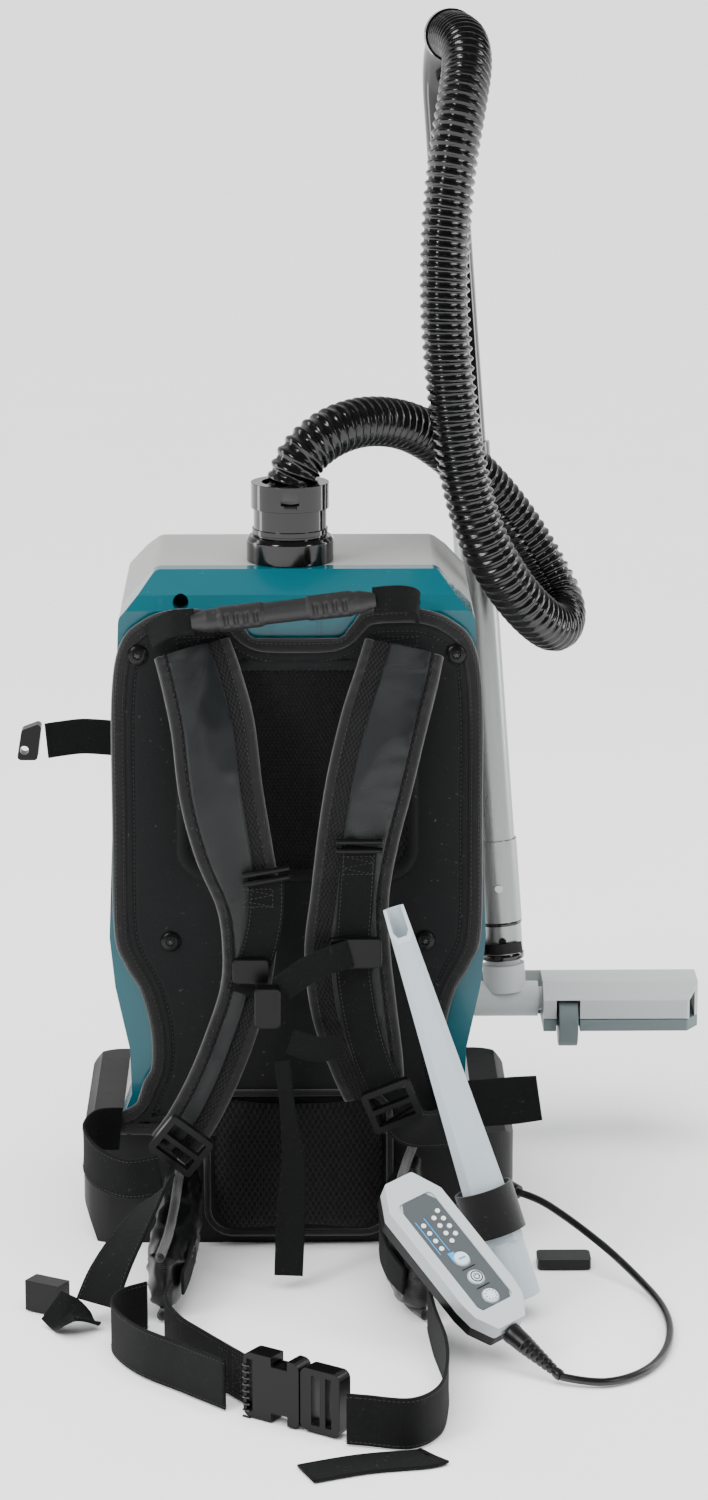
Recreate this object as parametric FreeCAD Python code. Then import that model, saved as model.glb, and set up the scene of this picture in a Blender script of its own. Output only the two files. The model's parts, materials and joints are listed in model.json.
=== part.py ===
import FreeCAD, Part
import math
import os

# Cordless backpack vacuum cleaner with harness, hose, wand and floor nozzle.
# Millimetres. The origin is the middle of the base's flat underside. +Z is up,
# the wearer's back is on the -Y side, and +X is on the right of a person who
# looks at the harness.

V = FreeCAD.Vector
os.makedirs("parts", exist_ok=True)

# ---- driving dimensions of the machine -------------------------------------
BASE_WIDTH = 342.0
BASE_DEPTH = 224.0
BASE_FOOT_INSET = 11.0
BASE_CORNER = 25.0
SHELL_TOP = 538.0
SHELL_WIDTH = 294.0
WAIST_WIDTH = 262.0
SHELL_WALL = 3.0
SEAM_Y = -62.0
SEAM_GAP = 0.2
COVER_WIDTH = 224.0
COVER_BOTTOM = 216.0
COVER_HEIGHT = 284.0
COVER_THICK = 9.0
CUFF_X = -5.0
CUFF_Y = -40.0
HOSE_OUTER = 40.0
CUFF_BORE = HOSE_OUTER + 4.0
CUFF_WALL = 6.5
CUFF_OUTER = CUFF_BORE + 2 * CUFF_WALL
CUFF_RING_OUTER = CUFF_OUTER + 4.0
FLANGE_OUTER = CUFF_OUTER + 11.0
FLANGE_HEIGHT = 17.0
CUFF_LENGTH = 62.0

# ---- power and suction parts -----------------------------------------------
BATTERY_LENGTH = 112.0
BATTERY_WIDTH = 75.0
BATTERY_HEIGHT = 60.0
BATTERY_RAISED = 23.0
BAY_ROOF = 7.0
BASE_HEIGHT = BATTERY_RAISED + BATTERY_HEIGHT + BAY_ROOF
BASE_FOOT_WIDTH = BASE_WIDTH - 2 * BASE_FOOT_INSET
MOTOR_DIAMETER = 96.0
MOTOR_HEIGHT = 78.0
IMPELLER_DIAMETER = 116.0
SHAFT_DIAMETER = 8.0
BEARING_OUTER = 22.0
BEARING_WIDTH = 7.0
MOTOR_LOW = BASE_HEIGHT + 12.0
DECK_HEIGHT = MOTOR_LOW + MOTOR_HEIGHT + 26.0
FIT = 0.05
CLEAR = 0.5

# ---- wand and floor nozzle --------------------------------------------------
WAND_FOOT = V(177.0, 157.0, 119.0)
WAND_HEAD = V(119.0, 215.0, 906.0)
WAND_OUTER = 34.0
WAND_WALL = 1.2
NECK_OUTER = WAND_OUTER - 5.0
SLEEVE_OUTER = WAND_OUTER + 2.0
NOZZLE_HALF = 163.0
DRUM_RADIUS = 15.0
WHEEL_RADIUS = 20.0
NECK_TOP = 36.0
SEAL_TOP = 41.0
SLEEVE_TOP = 66.0
COLLAR_LOW = 69.0
COLLAR_TOP = 139.0
TUBE_TOP = 470.0
HANDLE_BEND = 812.0
HANDLE_TURN = 52.0
CLIP_AT = 47.0
CLIP_HEIGHT = 9.0

# ---- harness -----------------------------------------------------------------
PLATE_THICK = 3.0
PAD_THICK = 5.0
PAD_TOP = 513.0
WEB_THICK = 2.0
BELT_WIDTH = 38.0

BASE_FRONT = -BASE_DEPTH / 2
BASE_BACK = BASE_DEPTH / 2
PLATE_FACE = BASE_FRONT - PLATE_THICK
PAD_FACE = PLATE_FACE - PAD_THICK - 0.3


# ---- shape helpers -----------------------------------------------------------
def box(x0, x1, y0, y1, z0, z1):
    return Part.makeBox(x1 - x0, y1 - y0, z1 - z0, V(x0, y0, z0))


def rod(radius, start, end):
    """A cylinder from one point to another."""
    way = end - start
    return Part.makeCylinder(radius, way.Length, start, way)


def ring(outer, inner, start, end):
    """A tube with the two diameters, cut right through."""
    way = end - start
    way.normalize()
    return rod(outer / 2, start, end).cut(rod(inner / 2, start - way, end + way))


def cone(r0, r1, start, end):
    way = end - start
    return Part.makeCone(r0, r1, way.Length, start, way)


def fuse(first, *others):
    for other in others:
        first = first.fuse(other)
    return first.removeSplitter()


def rounded_wire(points, radii, closed):
    """Straight runs joined by tangent arcs, one radius for each corner."""
    count = len(points)
    corners = range(count) if closed else range(1, count - 1)
    cut = {}
    for i in corners:
        before = points[i - 1] - points[i]
        after = points[(i + 1) % count] - points[i]
        before.normalize()
        after.normalize()
        turn = math.pi - before.getAngle(after)
        reach = radii[i] * math.tan(turn / 2)
        half = before + after
        half.normalize()
        middle = points[i] + half * (radii[i] / math.cos(turn / 2) - radii[i])
        cut[i] = (points[i] + before * reach, middle, points[i] + after * reach)
    edges = []
    last = count if closed else count - 1
    for i in range(last):
        j = (i + 1) % count
        start = cut[i][2] if i in cut else points[i]
        end = cut[j][0] if j in cut else points[j]
        if (end - start).Length > 1e-6:
            edges.append(Part.LineSegment(start, end).toShape())
        if j in cut:
            edges.append(Part.Arc(*cut[j]).toShape())
    return Part.Wire(edges)


def slab(points, radius, axis, low, high):
    """A plate with rounded corners. The outline is in the plane across axis."""
    place = {
        "x": lambda a, b: V(low, a, b),
        "y": lambda a, b: V(a, low, b),
        "z": lambda a, b: V(a, b, low),
    }[axis]
    corners = [place(a, b) for a, b in points]
    if radius > 0:
        wire = rounded_wire(corners, [radius] * len(corners), True)
    else:
        wire = Part.makePolygon(corners + corners[:1])
    way = {"x": V(1, 0, 0), "y": V(0, 1, 0), "z": V(0, 0, 1)}[axis]
    solid = Part.Face(wire).extrude(way * (high - low))
    return solid


def block(x0, x1, y0, y1, radius, z0, z1):
    return slab([(x0, y0), (x1, y0), (x1, y1), (x0, y1)], radius, "z", z0, z1)


def plate_y(x0, x1, z0, z1, radius, y0, y1):
    return slab([(x0, z0), (x1, z0), (x1, z1), (x0, z1)], radius, "y", y0, y1)


def mirror_x(solid):
    return solid.mirror(V(0, 0, 0), V(1, 0, 0))


def both_sides(points):
    """Completes an outline that is given on its +X side only."""
    return points + [(-x, z) for x, z in reversed(points)]


def smooth(stations, steps):
    """Catmull-Rom points through stations that are tuples of numbers."""
    ends = [stations[0]] + stations + [stations[-1]]
    rows = []
    for k in range(len(stations) - 1):
        p0, p1, p2, p3 = ends[k : k + 4]
        for s in range(steps):
            t = s / steps
            rows.append(
                tuple(
                    0.5 * (2 * b + (c - a) * t + (2 * a - 5 * b + 4 * c - d) * t * t
                           + (3 * b - a - 3 * c + d) * t ** 3)
                    for a, b, c, d in zip(p0, p1, p2, p3)
                )
            )
    return rows + [tuple(stations[-1])]


def ribbon(stations, thick, steps=3):
    """A strap. A station is x, y, z, the direction of its width, and its width."""
    rows = smooth(stations, steps)
    middles = [V(*row[:3]) for row in rows]
    wires = []
    for k, row in enumerate(rows):
        before = middles[max(k - 1, 0)]
        after = middles[min(k + 1, len(rows) - 1)]
        along = after - before
        along.normalize()
        side = V(*row[3:6])
        side = side - along * side.dot(along)
        side.normalize()
        out = along.cross(side)
        w = side * (row[6] / 2)
        t = out * (thick / 2)
        m = middles[k]
        wires.append(Part.makePolygon([m - w - t, m + w - t, m + w + t, m - w + t, m - w - t]))
    return Part.makeLoft(wires, True, True)


ARC_SHARE = 0.45


def cord_tube(name, points, diameter):
    """A tube on straight runs joined by the largest arcs that the runs allow."""
    points = [V(*p) for p in points]
    runs = [(points[i + 1] - points[i]).Length for i in range(len(points) - 1)]
    radii = [0.0] * len(points)
    for i in range(1, len(points) - 1):
        turn = (points[i] - points[i - 1]).getAngle(points[i + 1] - points[i])
        radii[i] = ARC_SHARE * min(runs[i - 1], runs[i]) / math.tan(turn / 2)
    path = rounded_wire(points, radii, False)
    section = Part.Wire(Part.makeCircle(diameter / 2, points[0], points[1] - points[0]))
    tube = path.makePipeShell([section], True, False)
    expected = math.pi * (diameter / 2) ** 2 * path.Length
    print(name, "length", round(path.Length, 1), "volume ratio", round(tube.Volume / expected, 4))
    print(name, "radii", [round(r) for r in radii[1:-1]])
    return tube


def save(name, *solids):
    shape = solids[0] if len(solids) == 1 else Part.makeCompound(list(solids))
    for solid in shape.Solids:
        if not solid.isValid():
            print("INVALID", name)
    if not shape.Solids:
        print("NO SOLID", name)
    shape.exportStep("parts/" + name + ".step")


# The harness stations are heights on a machine of these two sizes.
DRAWN_BASE = 90.0
DRAWN_PAD = 513.0


def strap_height(z):
    """Height on the harness: it stretches between the base and the pad's top."""
    if z <= BELT_WIDTH:
        return z
    if z <= DRAWN_BASE:
        return z * BASE_HEIGHT / DRAWN_BASE
    return BASE_HEIGHT + (z - DRAWN_BASE) * (PAD_TOP - BASE_HEIGHT) / (DRAWN_PAD - DRAWN_BASE)


def harness(stations):
    """Stations x, out of the pad, z, width direction, width, in the machine's frame."""
    return [
        (x, PAD_FACE - out, strap_height(z), ux, uy, uz, w)
        for x, out, z, ux, uy, uz, w in stations
    ]


# ---- shells -------------------------------------------------------------------
def shell_outline(inset):
    """Half outline of the shells as X, Z, from the foot to the top."""
    half = SHELL_WIDTH / 2 - inset
    waist = WAIST_WIDTH / 2 - inset
    top = SHELL_TOP - inset
    return both_sides([
        (half - 4, BASE_HEIGHT + 0.2),
        (waist, 124),
        (waist + 1, 160),
        (half - 4, 212),
        (half, 252),
        (half - 10, top - 32),
        (half - 38, top),
    ])


def shell_block(inset, y0, y1):
    return slab(shell_outline(inset), 9, "y", y0, y1)


def back_profile(inset):
    """Side profile of the shell on the wearer's side as Y, Z."""
    face = BASE_FRONT + inset
    top = SHELL_TOP - inset
    return [
        (SEAM_Y - SEAM_GAP, BASE_HEIGHT),
        (face, BASE_HEIGHT),
        (face, top - 26),
        (face + 7, top - 15),
        (face + 36, top + 0.5),
        (SEAM_Y - SEAM_GAP, top + 0.5),
    ]


def outer_profile(inset):
    """Side profile of the light shell as Y, Z."""
    face = BASE_BACK - inset
    top = SHELL_TOP - inset
    return [
        (SEAM_Y, BASE_HEIGHT),
        (face, BASE_HEIGHT),
        (face, top - 40),
        (face - 12, top - 14),
        (face - 44, top + 0.5),
        (SEAM_Y, top + 0.5),
    ]


def shell_cavity(profile, y0, y1):
    inner = slab(profile(SHELL_WALL), 0, "x", -SHELL_WIDTH, SHELL_WIDTH)
    return shell_block(SHELL_WALL, y0, y1).common(inner)


CUFF_FOOT = V(CUFF_X, CUFF_Y, SHELL_TOP)
neck_hole = rod(CUFF_OUTER / 2 + CLEAR, CUFF_FOOT - V(0, 0, 20), CUFF_FOOT + V(0, 0, 20))
BOSS_X = 89.0
BOSS_Z = SHELL_TOP - 20


def make_back_shell():
    outer = shell_block(0, BASE_FRONT, SEAM_Y - SEAM_GAP)
    outer = outer.common(slab(back_profile(0), 0, "x", -SHELL_WIDTH, SHELL_WIDTH))
    cavity = shell_cavity(back_profile, BASE_FRONT + SHELL_WALL, SEAM_Y + 1)
    shell = outer.cut(cavity).cut(neck_hole)
    for x in (-BOSS_X, BOSS_X):
        boss = rod(9, V(x, BASE_FRONT + 1, BOSS_Z), V(x, SEAM_Y - 6, BOSS_Z)).common(outer)
        hole = rod(6, V(x, BASE_FRONT - 1, BOSS_Z), V(x, SEAM_Y - 10, BOSS_Z))
        shell = shell.fuse(boss).cut(hole)
    ribs = [box(x, x + 2, BASE_FRONT - 1.5, BASE_FRONT + 1, PAD_TOP - 20, PAD_TOP + 6) for x in (-22, 16)]
    shell = fuse(shell, *ribs)
    save("back_shell", shell)


def make_outer_shell():
    outer = shell_block(0, SEAM_Y, BASE_BACK)
    outer = outer.common(slab(outer_profile(0), 0, "x", -SHELL_WIDTH, SHELL_WIDTH))
    cavity = shell_cavity(outer_profile, SEAM_Y - 1, BASE_BACK - SHELL_WALL)
    half = COVER_WIDTH / 2
    window = plate_y(-half + 8, half - 8, COVER_BOTTOM + 8, COVER_BOTTOM + COVER_HEIGHT - 22, 12,
                     BASE_BACK - 20, BASE_BACK + 5)
    shell = outer.cut(cavity).cut(neck_hole).cut(window)
    for x in (-half + 12, half - 32):
        knuckle = rod(5, V(x, HINGE_Y, HINGE_Z), V(x + 20, HINGE_Y, HINGE_Z))
        knuckle = knuckle.fuse(box(x, x + 20, BASE_BACK - 1, BASE_BACK + 4, HINGE_Z - 5, HINGE_Z + 3))
        knuckle = knuckle.cut(rod(2, V(x - 1, HINGE_Y, HINGE_Z), V(x + 21, HINGE_Y, HINGE_Z)))
        shell = shell.fuse(knuckle)
    save("outer_shell", shell.removeSplitter())


HINGE_Z = COVER_BOTTOM - 8
HINGE_Y = BASE_BACK + 4.5


def make_dust_cover():
    half = COVER_WIDTH / 2
    top = COVER_BOTTOM + COVER_HEIGHT
    y0 = BASE_BACK + 1
    skin = plate_y(-half, half, COVER_BOTTOM, top, 14, y0, y0 + COVER_THICK)
    hollow = plate_y(-half + 3, half - 3, COVER_BOTTOM + 3, top - 3, 11, y0 - 1, y0 + COVER_THICK - 2.5)
    cover = skin.cut(hollow)
    bars = [box(-half + 2, half - 2, y0 + 2, y0 + COVER_THICK - 2, z, z + 2)
            for z in (COVER_BOTTOM + 70, COVER_BOTTOM + 140, COVER_BOTTOM + 210)]
    cover = fuse(cover, *bars)
    for x in (-half + 33, half - 53):
        ear = box(x, x + 20, y0 + 0.5, y0 + 6, HINGE_Z, COVER_BOTTOM + 2)
        ear = ear.fuse(rod(4.2, V(x, HINGE_Y, HINGE_Z), V(x + 20, HINGE_Y, HINGE_Z)))
        cover = cover.fuse(ear)
    pins = []
    for x in (-half + 12.5, half - 53):
        pins.append(rod(2 - FIT, V(x, HINGE_Y, HINGE_Z), V(x + 40.5, HINGE_Y, HINGE_Z)))
    slot = box(-21, 21, y0 - 2, y0 + COVER_THICK + 1, top - 17, top + 1)
    cover = fuse(cover, *pins).cut(slot)
    for x in (-23, 21):
        cheek = box(x, x + 2, y0, y0 + COVER_THICK - 1, top - 17, top - 3)
        cover = cover.fuse(cheek)
    pin = rod(1.5, V(-22, y0 + 4, top - 12), V(22, y0 + 4, top - 12))
    save("dust_cover", fuse(cover, pin))


def make_cover_latch():
    top = COVER_BOTTOM + COVER_HEIGHT
    y0 = BASE_BACK + 1
    axis_start = V(-20.5, y0 + 4, top - 12)
    axis_end = V(20.5, y0 + 4, top - 12)
    latch = rod(3.6, axis_start, axis_end)
    latch = latch.fuse(box(-20.5, 20.5, y0 + 4, y0 + 7, top - 15, top + 4))
    latch = latch.fuse(box(-20.5, 20.5, y0 + 0.8, y0 + 6, top + 0.5, top + 4))
    latch = latch.cut(rod(1.5 + FIT, V(-21, y0 + 4, top - 12), V(21, y0 + 4, top - 12)))
    save("cover_latch", latch.removeSplitter())


# ---- base and batteries --------------------------------------------------------
def base_outline(inset):
    half = BASE_WIDTH / 2 - inset
    foot = BASE_FOOT_WIDTH / 2 - inset
    return both_sides([(foot, inset), (half, 30), (half, BASE_HEIGHT - 6), (half - 7, BASE_HEIGHT - inset)])


def base_block(inset):
    plan = block(-BASE_WIDTH / 2 + inset, BASE_WIDTH / 2 - inset, BASE_FRONT + inset, BASE_BACK - inset,
                 BASE_CORNER - inset, -1, BASE_HEIGHT + 1)
    return slab(base_outline(inset), 0, "y", BASE_FRONT + inset, BASE_BACK - inset).common(plan)


BAY_HALF = BATTERY_WIDTH / 2 + CLEAR
BAY_LOW = BATTERY_RAISED - CLEAR
BAY_HIGH = BATTERY_RAISED + BATTERY_HEIGHT + CLEAR
PACK_END = BASE_WIDTH / 2 - 3
PACK_START = PACK_END - BATTERY_LENGTH
TERMINAL_LOW = BATTERY_RAISED + BATTERY_HEIGHT - 30


def make_base():
    base = base_block(0).cut(base_block(SHELL_WALL))
    for side in (-1, 1):
        x0, x1 = sorted((side * (PACK_START - 10), side * (BASE_WIDTH / 2 + 5)))
        base = base.cut(box(x0, x1, -BAY_HALF, BAY_HALF, BAY_LOW, BAY_HIGH))
        shelf0, shelf1 = sorted((side * (PACK_START - 6), side * (BASE_FOOT_WIDTH / 2 - 2)))
        shelf = box(shelf0, shelf1, -BAY_HALF - 3, BAY_HALF + 3, BAY_LOW - 3, BAY_LOW)
        stop0, stop1 = sorted((side * (PACK_START - 14), side * (PACK_START - 3)))
        stop = box(stop0, stop1, -BAY_HALF - 3, BAY_HALF + 3, BAY_LOW - 3, TERMINAL_LOW)
        legs = box(stop0, stop1, -BAY_HALF, BAY_HALF, SHELL_WALL - 1, BAY_LOW)
        base = base.fuse(shelf).fuse(stop).fuse(legs)
    exhaust = [box(-130 + 12 * k, -124 + 12 * k, BASE_BACK - 6, BASE_BACK + 3, 30, 70) for k in range(22)]
    for slot in exhaust:
        base = base.cut(slot)
    wire_hole = rod(4.5, GLAND_FOOT - GLAND_WAY * 12, GLAND_FOOT + GLAND_WAY * 12)
    motor_air = rod(30, V(0, 30, BASE_HEIGHT - 8), V(0, 30, BASE_HEIGHT + 4))
    save("base_housing", base.cut(wire_hole).cut(motor_air).removeSplitter())


def battery(side):
    x0, x1 = sorted((side * PACK_START, side * PACK_END))
    half = BATTERY_WIDTH / 2
    low, high = BATTERY_RAISED, BATTERY_RAISED + BATTERY_HEIGHT
    pack = slab([(-half, low), (half, low), (half, high), (-half, high)], 5, "x", x0, x1)
    b0, b1 = sorted((side * (PACK_END - 16), side * (PACK_END + 1)))
    pocket = box(b0, b1, -16.2, 16.2, high - 16.2, high - 5.8)
    b2, b3 = sorted((side * (PACK_START - 1), side * (PACK_START + 18)))
    groove = box(b2, b3, -24.5, -17.5, high - 26, high - 12)
    other = box(b2, b3, 17.5, 24.5, high - 26, high - 12)
    return pack.cut(pocket).cut(groove).cut(other)


def battery_button(side):
    high = BATTERY_RAISED + BATTERY_HEIGHT
    x0, x1 = sorted((side * (PACK_END - 10), side * (PACK_END + 1.5)))
    return box(x0, x1, -16, 16, high - 16, high - 6)


def make_batteries():
    for side, name in ((-1, "left"), (1, "right")):
        save("battery_" + name, battery(side))
        save("battery_button_" + name, battery_button(side))
    blades = []
    high = BATTERY_RAISED + BATTERY_HEIGHT
    for side in (-1, 1):
        for y in (-21, 21):
            x0, x1 = sorted((side * (PACK_START - 14), side * (PACK_START + 14)))
            blades.append(box(x0, x1, y - 0.8, y + 0.8, high - 24, high - 14))
        x0, x1 = sorted((side * (PACK_START - 14), side * (PACK_START - 7)))
        carrier = box(x0, x1, -28, 28, TERMINAL_LOW, high - 8)
        blades.append(carrier)
    merged = []
    for k in (0, 3):
        merged.append(fuse(*blades[k : k + 3]))
    save("battery_terminals", *merged)


def make_control_board():
    board = box(-40, 40, -70, 40, 12, 13.6)
    chips = [box(-30 + 22 * k, -14 + 22 * k, -50, -30, 13.6, 20) for k in range(3)]
    cans = [rod(6, V(-24 + 16 * k, 10, 13.6), V(-24 + 16 * k, 10, 34)) for k in range(4)]
    posts = [rod(3, V(x, y, SHELL_WALL), V(x, y, 12)) for x in (-34, 34) for y in (-64, 34)]
    save("control_board", fuse(board, *chips, *cans, *posts))


# ---- suction unit ---------------------------------------------------------------
MOTOR_Y = BASE_BACK - 82.0


def make_motor():
    centre = V(0, MOTOR_Y, 0)
    up = V(0, 0, 1)
    motor_top = MOTOR_LOW + MOTOR_HEIGHT
    can_low = centre + up * MOTOR_LOW
    can_top = centre + up * motor_top
    can = ring(MOTOR_DIAMETER, MOTOR_DIAMETER - 5, can_low, can_top)
    for z in (MOTOR_LOW, MOTOR_LOW + MOTOR_HEIGHT - 30):
        web = ring(MOTOR_DIAMETER - 2, BEARING_OUTER, centre + up * z, centre + up * (z + BEARING_WIDTH))
        can = can.fuse(web)
    for k in range(6):
        angle = math.radians(60 * k)
        hole_x = 32 * math.cos(angle)
        hole_y = MOTOR_Y + 32 * math.sin(angle)
        for z in (MOTOR_LOW, MOTOR_LOW + MOTOR_HEIGHT - 30):
            can = can.cut(rod(9, V(hole_x, hole_y, z - 1), V(hole_x, hole_y, z + BEARING_WIDTH + 1)))
    save("motor_can", can.removeSplitter())
    bearings = [
        ring(BEARING_OUTER, SHAFT_DIAMETER + 2 * FIT, centre + up * z, centre + up * (z + BEARING_WIDTH))
        for z in (MOTOR_LOW, MOTOR_LOW + MOTOR_HEIGHT - 30)
    ]
    save("motor_bearings", *bearings)
    shaft = rod(SHAFT_DIAMETER / 2, centre + up * (MOTOR_LOW - 3), centre + up * (motor_top + 12))
    core = rod(22, centre + up * (MOTOR_LOW + 10), centre + up * (MOTOR_LOW + MOTOR_HEIGHT - 33))
    save("rotor_shaft", fuse(shaft, core))
    low = motor_top + 2
    disc = ring(IMPELLER_DIAMETER, SHAFT_DIAMETER, centre + up * low, centre + up * (low + 2))
    hub = ring(20, SHAFT_DIAMETER, centre + up * low, centre + up * (low + 9))
    blades = []
    for k in range(9):
        blade = box(9, IMPELLER_DIAMETER / 2 - 1, -0.8, 0.8, low + 1, low + 9)
        blade.translate(V(0, MOTOR_Y, 0))
        blade.rotate(V(0, MOTOR_Y, 0), up, 40 * k)
        blades.append(blade)
    save("impeller", fuse(disc, hub, *blades))
    mounts = [
        ring(MOTOR_DIAMETER + 12, MOTOR_DIAMETER, centre + up * z, centre + up * (z + 10))
        for z in (MOTOR_LOW, motor_top - 14)
    ]
    save("motor_mounts", *mounts)


def make_chamber():
    half = WAIST_WIDTH / 2 - SHELL_WALL - 1
    deck = box(-half, half, BASE_FRONT + 5, BASE_BACK - 5, DECK_HEIGHT, DECK_HEIGHT + 3)
    deck = deck.cut(rod(34, V(0, MOTOR_Y, DECK_HEIGHT - 1), V(0, MOTOR_Y, DECK_HEIGHT + 4)))
    skirt_foot = V(0, MOTOR_Y, MOTOR_LOW + MOTOR_HEIGHT + CLEAR)
    skirt = ring(IMPELLER_DIAMETER + 10, IMPELLER_DIAMETER + 5, skirt_foot, V(0, MOTOR_Y, DECK_HEIGHT + 1))
    save("motor_deck", fuse(deck, skirt))
    half = WAIST_WIDTH / 2 - 41
    front = BASE_FRONT + 42
    back = BASE_BACK - 17
    low = DECK_HEIGHT + 3.2
    top = DECK_HEIGHT + 26
    frame = box(-half, half, front, back, low, top)
    well = box(-half + 6, half - 6, front + 6, back - 6, low + 2.8, top + 1)
    pitch = 9
    count = int((back - front - 12) // pitch)
    pleats = [box(-half + 5, half - 5, front + 8 + pitch * k, front + 12 + pitch * k, low + 1.8, top - 3)
              for k in range(count)]
    window = box(-half + 12, half - 12, front + 12, back - 12, low - 1, low + 3.8)
    save("filter_cassette", fuse(frame.cut(well).cut(window), *pleats))
    bag_top = SHELL_TOP - 44
    half = WAIST_WIDTH / 2 - 35
    bag = block(-half, half, BASE_FRONT + 28, BASE_BACK - 20, 30, DECK_HEIGHT + 30, bag_top)
    save("dust_bag", bag.cut(rod(24, V(CUFF_X, CUFF_Y, bag_top - 30), V(CUFF_X, CUFF_Y, bag_top + 1))))
    plate = block(CUFF_X - 65, CUFF_X + 65, BASE_FRONT + 24, CUFF_Y + 70, 8, bag_top + 0.3, bag_top + 3.3)
    save("bag_plate", plate.cut(rod(24, V(CUFF_X, CUFF_Y, bag_top), V(CUFF_X, CUFF_Y, bag_top + 5))))


def make_inlet():
    foot = CUFF_FOOT
    up = V(0, 0, 1)
    flange = rod(FLANGE_OUTER / 2, foot + up * 0.2, foot + up * FLANGE_HEIGHT)
    flange = flange.fuse(cone(FLANGE_OUTER / 2, FLANGE_OUTER / 2 - 2, foot + up * FLANGE_HEIGHT,
                              foot + up * (FLANGE_HEIGHT + 3)))
    spigot = rod(CUFF_OUTER / 2, foot - up * 34, foot + up * 1)
    body = flange.fuse(spigot)
    body = body.cut(rod(CUFF_BORE / 2, foot - up * 40, foot + up * 30))
    seat = rod(CUFF_OUTER / 2 + FIT, foot + up * 4, foot + up * 30)
    save("inlet_flange", body.cut(seat).removeSplitter())
    low = foot + up * 4.2
    high = foot + up * CUFF_LENGTH
    cuff = rod(CUFF_OUTER / 2, low, high - up * 20)
    cuff = cuff.fuse(rod(CUFF_RING_OUTER / 2, high - up * 20, high))
    cuff = cuff.fuse(rod(CUFF_RING_OUTER / 2 - 0.8, high - up * 40, high - up * 36))
    cuff = cuff.cut(rod(CUFF_BORE / 2, low - up, high + up))
    slot = box(CUFF_X - 7, CUFF_X + 7, CUFF_Y - 40, CUFF_Y - 26, SHELL_TOP + CUFF_LENGTH - 14,
               SHELL_TOP + CUFF_LENGTH - 11)
    save("hose_cuff", cuff.cut(slot).removeSplitter())


# ---- hose -----------------------------------------------------------------------
WAND_WAY = WAND_HEAD - WAND_FOOT
WAND_WAY.normalize()
PIPE_WAY = V(0.16, -0.98, 0.05)
PIPE_WAY.normalize()
PIPE_END = WAND_FOOT + WAND_WAY * HANDLE_BEND + PIPE_WAY * 56


HOSE_ROUTE = [
    (CUFF_X, CUFF_Y, 590), (-3, -40, 608), (10, -33, 626), (32, -16, 638), (60, 14, 640),
    (95, 52, 628), (132, 90, 596), (170, 120, 552), (200, 134, 505), (220, 122, 468),
    (214, 82, 454), (192, 44, 474), (165, 20, 510), (142, 8, 556), (129, 2, 612),
    (121, 2, 668), (116, 6, 728), (117, 14, 788), (122, 25, 840), (130.5, 45, 884),
    (137, 79, 917), tuple(PIPE_END + PIPE_WAY * 40), tuple(PIPE_END),
]


def make_hose():
    save("hose", cord_tube("hose", HOSE_ROUTE, HOSE_OUTER))


# ---- wand and nozzle ------------------------------------------------------------
def wand_at(distance):
    return WAND_FOOT + WAND_WAY * distance


def bent_pipe(diameter):
    """The handle's pipe: straight on the wand's axis, then bent towards the hose."""
    path = rounded_wire([wand_at(TUBE_TOP), wand_at(HANDLE_BEND), PIPE_END], [0, HANDLE_TURN, 0], False)
    section = Part.Wire(Part.makeCircle(diameter / 2, wand_at(TUBE_TOP), WAND_WAY))
    return path.makePipeShell([section], True, False)


def make_wand():
    neck = ring(NECK_OUTER, NECK_OUTER - 5, wand_at(DRUM_RADIUS + 7), wand_at(NECK_TOP))
    neck = neck.fuse(ring(NECK_OUTER - 5, NECK_OUTER - 9, wand_at(DRUM_RADIUS + 7), wand_at(SLEEVE_TOP)))
    save("nozzle_neck", neck.removeSplitter())
    seal = ring(SLEEVE_OUTER, NECK_OUTER - 5, wand_at(NECK_TOP), wand_at(SEAL_TOP))
    sleeve = ring(SLEEVE_OUTER - 1, NECK_OUTER, wand_at(SEAL_TOP), wand_at(SLEEVE_TOP))
    band = ring(SLEEVE_OUTER, NECK_OUTER, wand_at(SLEEVE_TOP), wand_at(COLLAR_LOW))
    save("wand_sleeve", seal, sleeve, band)
    collar = ring(SLEEVE_OUTER + 1, WAND_OUTER - 2 * WAND_WALL, wand_at(COLLAR_LOW), wand_at(COLLAR_TOP))
    tube = ring(WAND_OUTER, WAND_OUTER - 2 * WAND_WALL, wand_at(COLLAR_TOP - 1), wand_at(TUBE_TOP))
    tube = tube.fuse(collar)
    button_at = wand_at(COLLAR_LOW + 30)
    save("wand_tube", tube.cut(rod(3.5, button_at, button_at + SNAP_WAY * 30)).removeSplitter())
    peg = rod(3.5 - FIT, button_at + SNAP_WAY * 13, button_at + SNAP_WAY * (SLEEVE_OUTER / 2 + 1.5))
    save("snap_button", peg)
    outer, inner = [bent_pipe(diameter) for diameter in (WAND_OUTER - 2, WAND_OUTER - 8)]
    socket = rod(WAND_OUTER / 2 + 2, wand_at(TUBE_TOP - 30), wand_at(TUBE_TOP + 6))
    end_start = PIPE_END - PIPE_WAY * 7
    grip = outer.fuse(socket).fuse(rod(HOSE_OUTER / 2 + 1.5, end_start, PIPE_END))
    grip = grip.cut(rod(WAND_OUTER / 2, wand_at(TUBE_TOP - 31), wand_at(TUBE_TOP))).cut(inner)
    save("handle_pipe", grip.removeSplitter())


SNAP_WAY = V(0, -1, 0) + WAND_WAY * WAND_WAY.y
SNAP_WAY.normalize()
DRUM_HALF = 27.0
HEAD_FRONT = WAND_FOOT.y - 24
HEAD_BACK = WAND_FOOT.y + 46
HEAD_LOW = WAND_FOOT.z - 22
HEAD_SPLIT = WAND_FOOT.z - 12
HEAD_HIGH = WAND_FOOT.z + 17
WHEEL_Y = WAND_FOOT.y - 14
WHEEL_Z = WAND_FOOT.z - 17


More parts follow.
